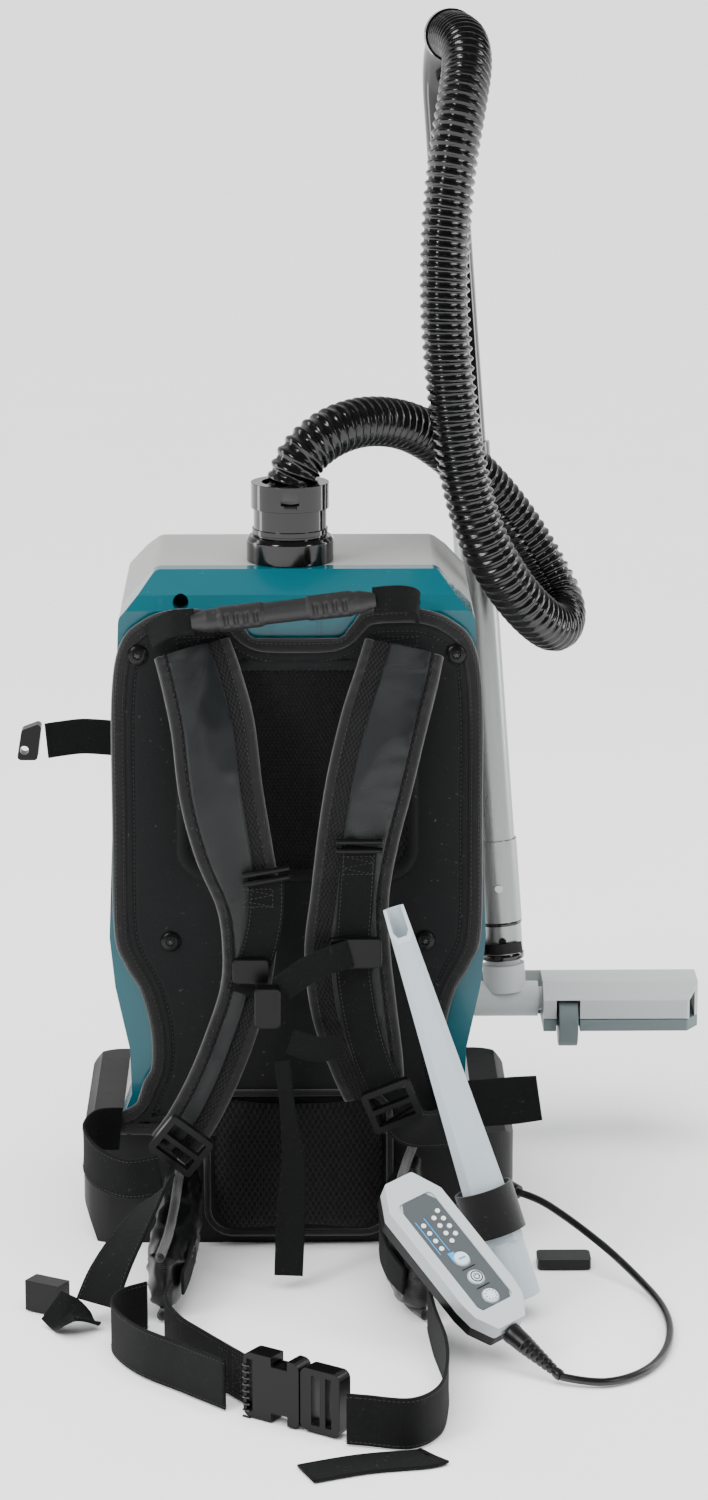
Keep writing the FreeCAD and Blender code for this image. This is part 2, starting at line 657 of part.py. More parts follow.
WINDOW_HALF = DRUM_HALF + 4
WINDOW_BACK = WAND_FOOT.y + 26


def head_window():
    x = WAND_FOOT.x
    return box(x - WINDOW_HALF, x + WINDOW_HALF, HEAD_FRONT - 5, WINDOW_BACK, HEAD_LOW - 5, HEAD_HIGH + 5)


def wheel_bay(side, top):
    """The room for one wheel, which is at this side of the wand's foot."""
    low, high = sorted((WAND_FOOT.x + side * (WHEEL_X - 10), WAND_FOOT.x + side * (WHEEL_X + 10)))
    return box(low, high, HEAD_FRONT - 5, WHEEL_Y + WHEEL_RADIUS + 2, HEAD_LOW - 5, top)


def make_nozzle():
    x = WAND_FOOT.x
    drum = rod(DRUM_RADIUS, WAND_FOOT - V(DRUM_HALF, 0, 0), WAND_FOOT + V(DRUM_HALF, 0, 0))
    socket = ring(NECK_OUTER + 7, NECK_OUTER + 2 * FIT, wand_at(8), wand_at(DRUM_RADIUS + 16))
    socket = socket.cut(rod(DRUM_RADIUS - 1, WAND_FOOT - V(40, 0, 0), WAND_FOOT + V(40, 0, 0)))
    yoke = fuse(drum, socket)
    yoke = yoke.cut(rod(NECK_OUTER / 2 - 4, WAND_FOOT, wand_at(30)))
    yoke = yoke.cut(rod(10, WAND_FOOT - V(DRUM_HALF + 1, 0, 0), WAND_FOOT + V(DRUM_HALF + 1, 0, 0)))
    yoke = yoke.cut(rod(NECK_OUTER / 2 + FIT, wand_at(DRUM_RADIUS + 6.9), wand_at(NECK_TOP)))
    save("nozzle_elbow", yoke.removeSplitter())
    profile = [(HEAD_FRONT, HEAD_SPLIT), (HEAD_BACK, HEAD_SPLIT), (HEAD_BACK, HEAD_SPLIT + 6),
               (HEAD_BACK - 18, HEAD_HIGH), (HEAD_FRONT + 16, HEAD_HIGH), (HEAD_FRONT, HEAD_HIGH - 12)]
    inner = [(HEAD_FRONT + 3, HEAD_SPLIT - 1), (HEAD_BACK - 3, HEAD_SPLIT - 1),
             (HEAD_BACK - 3, HEAD_SPLIT + 5), (HEAD_BACK - 20, HEAD_HIGH - 3),
             (HEAD_FRONT + 17, HEAD_HIGH - 3), (HEAD_FRONT + 3, HEAD_HIGH - 13)]
    left, right = x - NOZZLE_HALF, x + NOZZLE_HALF
    plan = slab([(left + 10, HEAD_FRONT), (right - 10, HEAD_FRONT), (right, HEAD_FRONT + 16),
                 (right, HEAD_BACK - 10), (right - 10, HEAD_BACK), (left + 10, HEAD_BACK),
                 (left, HEAD_BACK - 10), (left, HEAD_FRONT + 16)], 3, "z", HEAD_LOW - 1, HEAD_HIGH + 1)
    top = slab(profile, 2, "x", left, right).common(plan)
    hollow = slab(inner, 0, "x", left + 3, right - 3)
    ways = ((-WINDOW_HALF - 3, -WINDOW_HALF, HEAD_FRONT + 1, HEAD_BACK - 1),
            (WINDOW_HALF, WINDOW_HALF + 3, HEAD_FRONT + 1, HEAD_BACK - 1),
            (-WINDOW_HALF - 1, WINDOW_HALF + 1, WINDOW_BACK, WINDOW_BACK + 3))
    whole = slab(profile, 2, "x", left, right)
    walls = [box(x + a, x + b, c, d, HEAD_SPLIT, HEAD_HIGH - 1).common(whole) for a, b, c, d in ways]
    top = top.cut(hollow).cut(head_window())
    top = fuse(top, *walls)
    for side in (-1, 1):
        end = x + side * (DRUM_HALF + 7)
        start = x + side * (DRUM_HALF - 8)
        pivot = rod(10 - FIT, V(start, WAND_FOOT.y, WAND_FOOT.z), V(end, WAND_FOOT.y, WAND_FOOT.z))
        top = top.fuse(pivot)
        top = top.cut(wheel_bay(side, WHEEL_Z + WHEEL_RADIUS + 2))
    save("nozzle_head_top", top.removeSplitter())
    base = box(left, right, HEAD_FRONT, HEAD_BACK, HEAD_LOW, HEAD_SPLIT - 0.1).common(plan)
    base = base.cut(head_window())
    for side in (-1, 1):
        middle = V(x + side * WHEEL_X, WHEEL_Y, WHEEL_Z)
        base = base.cut(wheel_bay(side, HEAD_HIGH))
        base = base.cut(rod(AXLE_RADIUS + FIT, middle - V(14, 0, 0), middle + V(14, 0, 0)))
        m0, m1 = sorted((x + side * (WHEEL_X + 16), x + side * (NOZZLE_HALF - 8)))
        base = base.cut(box(m0, m1, MOUTH_FRONT, MOUTH_BACK, HEAD_LOW - 5, HEAD_HIGH))
    save("nozzle_head_base", base)
    wheels = []
    for side in (-1, 1):
        middle = V(x + side * WHEEL_X, WHEEL_Y, WHEEL_Z)
        wheel = rod(WHEEL_RADIUS, middle - V(8, 0, 0), middle + V(8, 0, 0))
        dish = ring(30, 14, middle + V(5, 0, 0), middle + V(9, 0, 0))
        axle = rod(AXLE_RADIUS, middle - V(13, 0, 0), middle + V(13, 0, 0))
        wheels.append(fuse(wheel.cut(dish), axle))
    save("nozzle_wheels", *wheels)


WHEEL_X = 52.0
AXLE_RADIUS = 2.9
MOUTH_FRONT = WAND_FOOT.y - 4
MOUTH_BACK = WAND_FOOT.y + 22


def make_holder():
    """A clip on the sleeve, open away from the machine, on an arm from the shell."""
    middle = wand_at(CLIP_AT)
    half = CLIP_HEIGHT / 2
    foot = box(104, 134, BASE_BACK + 0.2, BASE_BACK + 5, middle.z - 16, middle.z + 16)
    arm = slab([(118, BASE_BACK + 1), (134, BASE_BACK + 1), (middle.x - 12, middle.y - 12),
                (middle.x - 22, middle.y)], 0, "z", middle.z - half, middle.z + half)
    clip = ring(SLEEVE_OUTER + 6, SLEEVE_OUTER + 0.4, wand_at(CLIP_AT - half), wand_at(CLIP_AT + half))
    mouth = box(middle.x + 9, middle.x + 40, middle.y - 13, middle.y + 13, middle.z - 20, middle.z + 20)
    bore = rod(SLEEVE_OUTER / 2 + 0.2, wand_at(CLIP_AT - 30), wand_at(CLIP_AT + 30))
    save("wand_holder", fuse(foot, arm, clip.cut(mouth)).cut(bore))


# ---- harness ---------------------------------------------------------------------
def pad_outline(inset):
    return both_sides([
        (138 - inset, 94.5), (126 - inset, 118), (120 - inset, 135), (113.5 - inset, 150),
        (114 - inset, 179), (121.5 - inset, 211), (133 - inset, 232), (142 - inset, 260),
        (141 - inset, PAD_TOP - 69), (134 - inset, PAD_TOP - 26), (95, PAD_TOP - inset),
        (52, PAD_TOP - inset - 1), (34, PAD_TOP - 22),
    ])


def make_back():
    plate = slab(pad_outline(6), 3, "y", PLATE_FACE, BASE_FRONT - 0.2)
    save("back_plate", plate)
    pad = slab(pad_outline(0), 3, "y", PLATE_FACE - 0.1 - PAD_THICK, PLATE_FACE - 0.1)
    well = plate_y(-88, 88, 305, 470, 22, PAD_FACE - 1, PLATE_FACE - 2)
    save("back_pad", pad.cut(well))
    lumbar = plate_y(-76, 76, 8, BASE_HEIGHT + 42, 18, PAD_FACE - 10, PAD_FACE - 0.3)
    under = plate_y(-76, 76, 8, BASE_HEIGHT, 12, PAD_FACE - 0.6, BASE_FRONT - 0.3)
    save("lumbar_pad", lumbar.fuse(under).removeSplitter())
    rivets = []
    for x, z in ((-122, PAD_TOP - 33), (122, PAD_TOP - 33), (-99, 252), (99, 252)):
        rivets.append(rod(8, V(x, PAD_FACE + 0.1, z), V(x, PAD_FACE - 2.5, z)))
    save("plate_rivets", *rivets)


HANDLE_LEFT = V(-80, PAD_FACE - 20, PAD_TOP - 4)
HANDLE_RIGHT = V(60, PAD_FACE - 20, PAD_TOP + 13)


def make_carry_handle():
    way = HANDLE_RIGHT - HANDLE_LEFT
    way.normalize()
    grip = rod(11, HANDLE_LEFT + way * 14, HANDLE_RIGHT - way * 6)
    grip = grip.fuse(rod(8.5, HANDLE_LEFT, HANDLE_RIGHT))
    for k in range(4):
        for start in (22, 96):
            at = HANDLE_LEFT + way * (start + 7 * k)
            grip = grip.fuse(rod(12, at, at + way * 3.5))
    save("carry_handle", grip.removeSplitter())


LEFT_STRAP = [
    (-80, 9, 486, 1, 0, 0, 60), (-73, 22, 466, 1, 0, 0.05, 62), (-64, 42, 432, 1, 0, 0.1, 64),
    (-58, 55, 385, 1, 0, 0.15, 64), (-49, 58, 342, 1, 0, 0.2, 60), (-38, 56, 300, 1, 0, 0.1, 50),
    (-37, 52, 262, 1, 0, 0, 42), (-41, 50, 226, 1, 0, -0.2, 38), (-53, 53, 188, 1, 0, -0.4, 38),
    (-68, 58, 152, 1, 0, -0.6, 38), (-84, 66, 124, 0.9, 0, -0.8, 38), (-100, 74, 106, 0.7, 0, -1, 36),
]
RIGHT_STRAP = [
    (82, 9, 486, 1, 0, 0, 62), (76, 22, 466, 1, 0, -0.05, 64), (66, 42, 436, 1, 0, -0.1, 66),
    (55, 54, 392, 1, 0, -0.15, 66), (46, 57, 348, 1, 0, -0.1, 62), (40, 56, 304, 1, 0, 0, 60),
    (38, 54, 258, 1, 0, 0, 66), (43, 52, 212, 1, 0, 0.05, 66), (52, 53, 172, 1, 0, 0.1, 58),
    (59, 55, 144, 1, 0, 0.15, 48),
]
STRAP_THICK = 9.0
LEFT_LOOP = [
    (-140, 6, 100, 0, 0.1, 1, 34), (-158, 22, 104, 0, 0, 1, 34), (-166, 44, 99, 0, 0, 1, 34),
    (-156, 66, 90, 0, 0, 1, 34), (-132, 84, 86, 0, 0, 1, 32), (-106, 91.5, 92, 0, 0.2, 1, 30),
]
LEFT_TAIL = [
    (-97, 105.5, 92, 0.8, 0, 1, 30), (-112, 120, 81, 0.9, -0.2, 0.8, 34), (-127, 140, 64, 1, -0.3, 0.6, 36),
    (-142, 162, 42, 1, -0.4, 0.3, 36), (-152, 176, 20, 1, -0.4, 0.2, 36),
]
LEFT_FOLD = [
    (-158, 190, 12, 1, -0.4, 0, 32), (-166, 184, 11, 1, -0.4, 0, 32), (-176, 176, 12, 1, -0.4, 0.1, 30),
    (-186, 168, 16, 1, -0.3, 0.2, 26),
]
RIGHT_WEB = [
    (47, 65, 345, 1, 0, 0, 25), (44, 64.5, 300, 1, 0, 0, 25), (42, 62.5, 255, 1, 0, 0, 25),
    (47, 60.5, 212, 1, 0, 0.1, 25), (56, 61.5, 176, 1, 0, 0.2, 25), (67, 64, 150, 1, 0, 0.3, 25),
]
RIGHT_WEB_TAIL = [
    (78, 62, 130, 1, 0, 0.6, 30), (88, 50, 116, 1, 0, 1, 34), (102, 32, 108, 0.6, 0, 1, 36),
    (120, 14, 104, 0.3, 0, 1, 36),
]


STERNUM_THICK = 1.6
STERNUM_UPPER = [(40, 74.5, 263, 0, 0, 1, 22), (12, 80, 254, 0.3, 0, 1, 22), (-12, 83, 238, 0.6, 0, 1, 22)]
STERNUM_LOWER = [(-6, 84, 196, 0.4, 0, 1, 20), (14, 84, 190, 0.3, 0, 1, 20), (34, 78, 190, 0.2, 0, 1, 20)]
STERNUM_TAIL = [
    (-12, 84, 180, 1, 0, 0, 12), (-8, 84, 140, 1, 0, 0, 12), (-4, 85, 100, 1, 0, 0, 18),
    (-6, 90, 60, 1, 0, 0, 22), (-8, 98, 12, 1, 0, 0, 22),
]


def make_straps():
    save("shoulder_strap_left", ribbon(harness(LEFT_STRAP), STRAP_THICK))
    save("shoulder_strap_right", ribbon(harness(RIGHT_STRAP), STRAP_THICK))
    save("strap_webbing", *[ribbon(harness(path), WEB_THICK)
                            for path in (LEFT_LOOP, LEFT_TAIL, LEFT_FOLD, RIGHT_WEB, RIGHT_WEB_TAIL)])
    save("sternum_strap", *[ribbon(harness(path), STERNUM_THICK)
                            for path in (STERNUM_UPPER, STERNUM_LOWER, STERNUM_TAIL)])


def turned(shape, centre, axis, angle):
    copy = shape.copy()
    copy.rotate(centre, axis, angle)
    return copy


def ladder_lock(centre, tilt_y, tilt_x):
    """A frame with two bars for 25 mm to 38 mm webbing."""
    half, high, thick = 20.0, 17.0, 4.0
    x, y, z = centre
    frame = plate_y(x - half, x + half, z - high, z + high, 4, y - thick, y + thick)
    for low in (z - high + 5, z + 2):
        frame = frame.cut(box(x - half + 5, x + half - 5, y - thick - 1, y + thick + 1, low, low + 10))
    frame = turned(frame, centre, V(0, 1, 0), tilt_y)
    return turned(frame, centre, V(1, 0, 0), tilt_x)


def make_buckles():
    left = ladder_lock(V(-90, PAD_FACE - 84, strap_height(113)), 38, 0)
    right = ladder_lock(V(72, PAD_FACE - 70, strap_height(140)), -22, 0)
    y = PAD_FACE - 84
    upper = strap_height(228)
    clasp = plate_y(-33, -13, upper - 20, upper + 12, 4, y - 6, y + 6)
    middle = strap_height(246)
    slider_left = plate_y(-50, -22, middle - 10, middle + 10, 4, PAD_FACE - 66, PAD_FACE - 59)
    middle = strap_height(262)
    slider_right = plate_y(24, 64, middle - 12, middle + 12, 4, PAD_FACE - 72, PAD_FACE - 66)
    save("sternum_buckle", clasp, slider_left, slider_right)
    z = strap_height(400)
    side = SHELL_WIDTH / 2
    web = ribbon([(-side + 3, -60, z, 0, 0, 1, 28), (-side - 20, -62, z + 2, 0, 0, 1, 28),
                  (-side - 38, -66, z + 1, 0, 0, 1, 28), (-side - 49, -69, z, 0, 0, 1, 28)], WEB_THICK)
    low = strap_height(120)
    hook_loop = ribbon([(112, PAD_FACE - 8, low - 2, 0, 0, 1, 38),
                        (140, PAD_FACE - 16, low + 3, 0.1, 0, 1, 38),
                        (168, PAD_FACE - 21, low + 7, 0.15, 0, 1, 38),
                        (188, PAD_FACE - 24, low + 10, 0.15, 0, 1, 36)], 3)
    save("side_straps", web, hook_loop)
    hook = slab([(-side - 72, z - 14), (-side - 56, z - 14), (-side - 52, z + 16), (-side - 68, z + 10)], 3,
                "y", -76, -62)
    hook = hook.cut(rod(3.5, V(-side - 66, -77, z - 6), V(-side - 66, -61, z - 6)))
    clip_y = PAD_FACE - 140
    left_end = box(-206, -176, clip_y - 8, clip_y + 8, 1.2, 25)
    left_end = turned(left_end, V(-190, clip_y, 12), V(0, 0, 1), -30)
    right_end = block(186, 228, -180, -156, 4, 1.2, 9)
    save("strap_hardware", left, right, hook, left_end, right_end)


LEFT_HIP = [
    (-90, 10, 50, 0, 0, 1, 72), (-92, 44, 46, 0, 0, 1, 74), (-95, 90, 38, 0, 0, 1, 66),
    (-99, 136, 33, 0, 0, 1, 58), (-104, 168, 30, 0, 0, 1, 54),
]
RIGHT_HIP = [
    (90, 10, 52, 0, 0, 1, 74), (84, 46, 48, 0, 0, 1, 80), (78, 92, 43, 0, 0, 1, 78),
    (83, 138, 38, 0, 0, 1, 70), (97, 172, 32, 0, 0, 1, 58),
]
HIP_THICK = 14.0
BELT_MIDDLE = BELT_WIDTH / 2 + 1.2
# The belt's points are X and the distance out of the pad.
BELT_INNER = [(-96, 176), (-99, 210), (-88, 248), (-66, 284), (-37, 328)]
BELT_OUTER = [(-114, 180), (-134, 198), (-137, 228), (-118, 268), (-84, 304), (-46, 342), (-18, 377)]
BELT_RIGHT = [(46, 402), (78, 408), (98, 385), (105, 344), (106, 294), (100, 236), (97, 186)]
BELT_TAIL = [(84, 428), (44, 436), (4, 452)]
BUCKLE_START = V(-37, PAD_FACE - 338, BELT_MIDDLE)
BUCKLE_WAY = V(0.82, -0.57, 0)
BUCKLE_WAY.normalize()


def belt(points):
    return ribbon([(x, PAD_FACE - out, BELT_MIDDLE, 0, 0, 1, BELT_WIDTH) for x, out in points], WEB_THICK)


def along_buckle(solid):
    """Turns a solid that is made along +X at the buckle's start."""
    return turned(solid, BUCKLE_START, V(0, 0, 1), math.degrees(math.atan2(BUCKLE_WAY.y, BUCKLE_WAY.x)))


def make_belt():
    save("hip_pad_left", ribbon(harness(LEFT_HIP), HIP_THICK))
    save("hip_pad_right", ribbon(harness(RIGHT_HIP), HIP_THICK))
    tail = ribbon([(x, PAD_FACE - out, 2.4, 0.1, 1, 0, 30) for x, out in BELT_TAIL], WEB_THICK)
    save("belt_webbing", belt(BELT_INNER), belt(BELT_OUTER), belt(BELT_RIGHT), tail)
    x, y, z = BUCKLE_START
    low, high = 1.2, BELT_WIDTH + 12
    socket = plate_y(x + 2, x + 50, low, high, 6, y - 8, y + 8)
    cavity = box(x + 14, x + 51, y - 5, y + 5, low + 5, high - 5)
    web_slot = box(x + 5, x + 10, y - 9, y + 9, low + 5, high - 5)
    window_top = box(x + 26, x + 40, y - 9, y + 9, high - 7, high + 1)
    window_low = box(x + 26, x + 40, y - 9, y + 9, low - 1, low + 7)
    socket = socket.cut(cavity).cut(web_slot).cut(window_top).cut(window_low)
    save("belt_buckle_socket", along_buckle(socket))
    plug = plate_y(x + 50.4, x + 84, low + 1, high - 1, 6, y - 7, y + 7)
    plug = plug.cut(box(x + 72, x + 77, y - 8, y + 8, low + 6, high - 6))
    plug = plug.cut(box(x + 60, x + 67, y - 8, y + 8, low + 6, high - 6))
    arms = [box(x + 22, x + 51, y - 4, y + 4, z0, z0 + 6) for z0 in (low + 7, high - 13)]
    save("belt_buckle_plug", along_buckle(fuse(plug, *arms)))


# ---- crevice tool ------------------------------------------------------------------
CREVICE_FOOT = V(166, PAD_FACE - 152, 14)
CREVICE_TIP = V(72, PAD_FACE - 97, 305)
CREVICE_WAY = CREVICE_TIP - CREVICE_FOOT
CREVICE_LENGTH = CREVICE_WAY.Length
CREVICE_WAY.normalize()


def crevice_at(distance):
    return CREVICE_FOOT + CREVICE_WAY * distance


def make_crevice():
    foot = CREVICE_FOOT
    side = V(1, 0, 0) - CREVICE_WAY * CREVICE_WAY.x
    side.normalize()
    out = CREVICE_WAY.cross(side)

    def section(distance, w, d):
        m = crevice_at(distance)
        a, b = side * (w / 2), out * (d / 2)
        c, e = side * (w / 2 - min(w, d) * 0.22), out * (d / 2 - min(w, d) * 0.22)
        return Part.makePolygon([m - a - e, m - c - b, m + c - b, m + a - e, m + a + e, m + c + b,
                                 m - c + b, m - a + e, m - a - e])

    body = Part.makeLoft([section(45, 36, 33), section(CREVICE_LENGTH, 16, 24)], True, True)
    hole = Part.makeLoft([section(44, 31, 28), section(CREVICE_LENGTH - 40, 12.5, 20),
                          section(CREVICE_LENGTH + 1, 11, 19)], True, True)
    collar = ring(35, 30, foot, crevice_at(46))
    tip_plane = rod(60, crevice_at(CREVICE_LENGTH - 6), crevice_at(CREVICE_LENGTH + 60))
    tip_plane.rotate(crevice_at(CREVICE_LENGTH - 6), side, 58)
    tool = body.cut(hole).cut(tip_plane)
    save("crevice_tool", fuse(tool, collar.cut(hole)))
    band_low, band_high = crevice_at(52), crevice_at(88)
    band = ring(45, 41.6, band_low, band_high)
    tab = box(118, 146, PAD_FACE - 142, PAD_FACE - 138, 52, 84)
    save("crevice_strap", fuse(band, tab.cut(rod(21, crevice_at(20), crevice_at(140)))))


# ---- remote control ---------------------------------------------------------------
REMOTE_FOOT = V(153, PAD_FACE - 256, 29)
REMOTE_UP = V(-0.575, 0.582, 0.575)
REMOTE_SIDE = V(0.786, 0.59, 0.181)
REMOTE_UP.normalize()
REMOTE_SIDE = REMOTE_SIDE - REMOTE_UP * REMOTE_SIDE.dot(REMOTE_UP)
REMOTE_SIDE.normalize()
REMOTE_OUT = REMOTE_SIDE.cross(REMOTE_UP)
REMOTE_LENGTH = 142.0
REMOTE_WIDTH = 50.0
REMOTE_SPLIT = -2.0
BUTTON_RADIUS = 6.0
BUTTON_TRAVEL = 0.8
BUTTONS = (("boost", 62.0), ("power", 44.0), ("mode", 26.0))


def to_remote(solid):
    """Moves a solid from X across, Y up its length, Z out of its face."""
    turn = FreeCAD.Matrix(
        REMOTE_SIDE.x, REMOTE_UP.x, REMOTE_OUT.x, REMOTE_FOOT.x,
        REMOTE_SIDE.y, REMOTE_UP.y, REMOTE_OUT.y, REMOTE_FOOT.y,
        REMOTE_SIDE.z, REMOTE_UP.z, REMOTE_OUT.z, REMOTE_FOOT.z,
        0, 0, 0, 1,
    )
    moved = solid.copy()
    moved.Placement = FreeCAD.Placement(turn)
    return moved


def remote_plan(inset):
    half = REMOTE_WIDTH / 2 - inset
    length = REMOTE_LENGTH - inset
    return [
        (-half + 12, inset), (half - 12, inset), (half - 2, 16), (half, 30), (half, length - 22),
        (half - 12, length), (-half + 12, length), (-half, length - 22), (-half, 30), (-half + 2, 16),
    ]


def make_remote():
    half = REMOTE_WIDTH / 2
    shell = slab(remote_plan(0), 3, "z", REMOTE_SPLIT, 11)
    shell = shell.cut(slab(remote_plan(3), 1, "z", REMOTE_SPLIT - 1, 8.5))
    shell = shell.cut(block(-half + 9, half - 9, 18, 122, 4, 9.6, 12))
    for name, at in BUTTONS:
        shell = shell.cut(rod(BUTTON_RADIUS + 0.2, V(0, at, 5), V(0, at, 14)))
        cap = rod(BUTTON_RADIUS, V(0, at, 6), V(0, at, 11.2))
        rim = rod(BUTTON_RADIUS + 1.6, V(0, at, 5), V(0, at, 6.4))
        save("remote_button_" + name, to_remote(fuse(cap, rim)))
    save("remote_front", to_remote(shell))
    back = slab(remote_plan(0), 3, "z", -12, REMOTE_SPLIT - 0.1)
    back = back.cut(slab(remote_plan(3), 1, "z", -9.5, REMOTE_SPLIT))
    posts = [rod(4, V(x, at, -10), V(x, at, REMOTE_SPLIT + 4)) for x in (-13, 13) for at in (20, 114)]
    save("remote_back", to_remote(fuse(back, *posts)))
    save("strain_relief", cone(7.5, CABLE_DIAMETER / 2 + 1.2, RELIEF_FOOT, RELIEF_END))


CABLE_DIAMETER = 6.0
RELIEF_END = V(190, PAD_FACE - 291, 6.5)
RELIEF_WAY = RELIEF_END - REMOTE_FOOT
RELIEF_WAY.normalize()
RELIEF_FOOT = REMOTE_FOOT + RELIEF_WAY * 2.5
GLAND_FOOT = V(BASE_WIDTH / 2 - 7.3, BASE_FRONT + 7.3, 42)
GLAND_WAY = V(1, -1, 0)
GLAND_WAY.normalize()
GLAND_LENGTH = 15.0
CABLE_ROUTE = [
    (RELIEF_END.x, RELIEF_END.y, RELIEF_END.z), (212, -419, 4.4), (236, -412, 4.2), (257, -390, 4.2),
    (272, -354, 4.2), (279, -308, 4.2), (276, -262, 4.4), (263, -222, 8), (243, -190, 19), (224, -167, 28),
    (206, -148, 36), tuple(GLAND_FOOT + GLAND_WAY * (GLAND_LENGTH + 20)),
    tuple(GLAND_FOOT + GLAND_WAY * GLAND_LENGTH),
]


def make_cable():
    save("remote_cable", cord_tube("remote cable", CABLE_ROUTE, CABLE_DIAMETER))
    gland = cone(8, 5.5, GLAND_FOOT, GLAND_FOOT + GLAND_WAY * GLAND_LENGTH)
    save("cable_gland", gland.cut(base_block(0)))


make_back_shell()
make_outer_shell()
make_dust_cover()
make_cover_latch()
make_base()
make_batteries()
make_control_board()
make_motor()
make_chamber()
make_inlet()
make_hose()
make_wand()
make_nozzle()
make_holder()
make_back()
make_carry_handle()
make_straps()
make_buckles()
make_belt()
make_crevice()
make_remote()
make_cable()
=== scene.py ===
import json
import math

import bpy
import bmesh
import numpy as np
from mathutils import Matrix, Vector, noise


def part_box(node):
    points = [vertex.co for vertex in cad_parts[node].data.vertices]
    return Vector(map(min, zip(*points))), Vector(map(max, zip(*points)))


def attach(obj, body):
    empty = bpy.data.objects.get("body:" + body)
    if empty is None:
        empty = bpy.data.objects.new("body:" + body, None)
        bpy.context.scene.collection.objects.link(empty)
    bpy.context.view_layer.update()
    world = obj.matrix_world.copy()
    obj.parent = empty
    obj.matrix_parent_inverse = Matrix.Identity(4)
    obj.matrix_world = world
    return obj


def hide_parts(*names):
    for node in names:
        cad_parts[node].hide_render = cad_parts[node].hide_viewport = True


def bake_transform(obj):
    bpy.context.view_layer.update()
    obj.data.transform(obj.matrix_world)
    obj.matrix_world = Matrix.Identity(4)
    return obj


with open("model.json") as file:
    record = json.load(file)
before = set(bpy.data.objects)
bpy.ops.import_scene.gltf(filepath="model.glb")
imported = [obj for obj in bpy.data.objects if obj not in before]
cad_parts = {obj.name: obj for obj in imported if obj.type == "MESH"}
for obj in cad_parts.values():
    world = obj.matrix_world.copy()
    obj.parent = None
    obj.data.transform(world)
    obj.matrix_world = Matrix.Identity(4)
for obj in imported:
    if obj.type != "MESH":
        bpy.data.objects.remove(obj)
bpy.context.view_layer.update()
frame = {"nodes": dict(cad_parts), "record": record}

# Every length is in metres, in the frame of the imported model.
MM = 0.001
PAD_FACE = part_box("back_pad")[0].y
BELT_MIDDLE = 0.0202


# ---- node trees -------------------------------------------------------------
class Link:
    """An output of a shader node that can be used in sums."""

    def __init__(self, finish, socket):
        self.finish = finish
        self.socket = socket

    def sum(self, operation, *values):
        return self.finish.add("ShaderNodeMath", dict(enumerate(values)), operation=operation)

    def __add__(self, other):
        return self.sum("ADD", self, other)

    __radd__ = __add__

    def __sub__(self, other):
        return self.sum("SUBTRACT", self, other)

    def __rsub__(self, other):
        return self.sum("SUBTRACT", other, self)

    def __mul__(self, other):
        return self.sum("MULTIPLY", self, other)

    __rmul__ = __mul__

    def __truediv__(self, other):
        return self.sum("DIVIDE", self, other)

    def __pow__(self, other):
        return self.sum("POWER", self, other)

    def sine(self):
        return self.sum("SINE", self)

    def size(self):
        return self.sum("ABSOLUTE", self)

    def above(self, other):
        return self.sum("GREATER_THAN", self, other)

    def least(self, other):
        return self.sum("MINIMUM", self, other)

    def most(self, other):
        return self.sum("MAXIMUM", self, other)

    def clamped(self):
        return self.finish.add("ShaderNodeClamp", {0: self})


class Finish:
    """A material with one Principled surface, and short calls for its nodes."""

    def __init__(self, name, **uniform):
        self.material = bpy.data.materials.new(name)
        self.material.use_nodes = True
        self.tree = self.material.node_tree
        self.surface = self.tree.nodes["Principled BSDF"]
        for socket, value in uniform.items():
            self.feed(self.surface.inputs[socket.replace("_", " ")], value)

    def feed(self, socket, value):
        if isinstance(value, Link):
            self.tree.links.new(value.socket, socket)
        else:
            socket.default_value = value

    def add(self, kind, values=None, output=0, stops=None, **settings):
        node = self.tree.nodes.new(kind)
        for key, value in settings.items():
            setattr(node, key, value)
        if stops:
            elements = node.color_ramp.elements
            while len(elements) < len(stops):
                elements.new(0.5)
            for element, (place, shade) in zip(elements, stops):
                element.position = place
                element.color = (*shade, 1) if hasattr(shade, "__len__") else (shade, shade, shade, 1)
        for key, value in (values or {}).items():
            self.feed(node.inputs[key], value)
        return Link(self, node.outputs[output])

    def place(self, stretch=(1, 1, 1)):
        """Object coordinates, stretched along the row's axes."""
        at = self.add("ShaderNodeTexCoord", output="Object")
        return self.add("ShaderNodeMapping", {"Vector": at, "Scale": stretch})

    def cloth(self):
        """Across and along, in metres, from the piece's own map."""
        at = self.add("ShaderNodeUVMap", uv_map="cloth")
        across = self.add("ShaderNodeSeparateXYZ", {0: at}, output=0)
        along = self.add("ShaderNodeSeparateXYZ", {0: at}, output=1)
        return at, across, along

    def noise(self, scale, detail=2.0, rough=0.5, at=None, stretch=(1, 1, 1)):
        at = at or self.place(stretch)
        values = {"Vector": at, "Scale": scale, "Detail": detail, "Roughness": rough}
        return self.add("ShaderNodeTexNoise", values)

    def mix(self, factor, one, two):
        values = {0: factor, 6: self.shade(one), 7: self.shade(two)}
        return self.add("ShaderNodeMix", values, output=2, data_type="RGBA")

    @staticmethod
    def shade(value):
        return value if isinstance(value, Link) else (*value, 1)

    def ramp(self, factor, *stops):
        return self.add("ShaderNodeValToRGB", {0: factor}, stops=stops)

    def paint(self, colour=None, rough=None, height=None, depth=None, **others):
        if colour is not None:
            self.feed(self.surface.inputs["Base Color"], self.shade(colour))
        if rough is not None:
            self.feed(self.surface.inputs["Roughness"], rough)
        if height is not None:
            bump = self.add("ShaderNodeBump", {"Height": height, "Distance": depth, "Strength": 1.0})
            self.feed(self.surface.inputs["Normal"], bump)
        for socket, value in others.items():
            self.feed(self.surface.inputs[socket.replace("_", " ")], value)
        return self.material


def darker(colour, share):
    return tuple(c * share for c in colour)


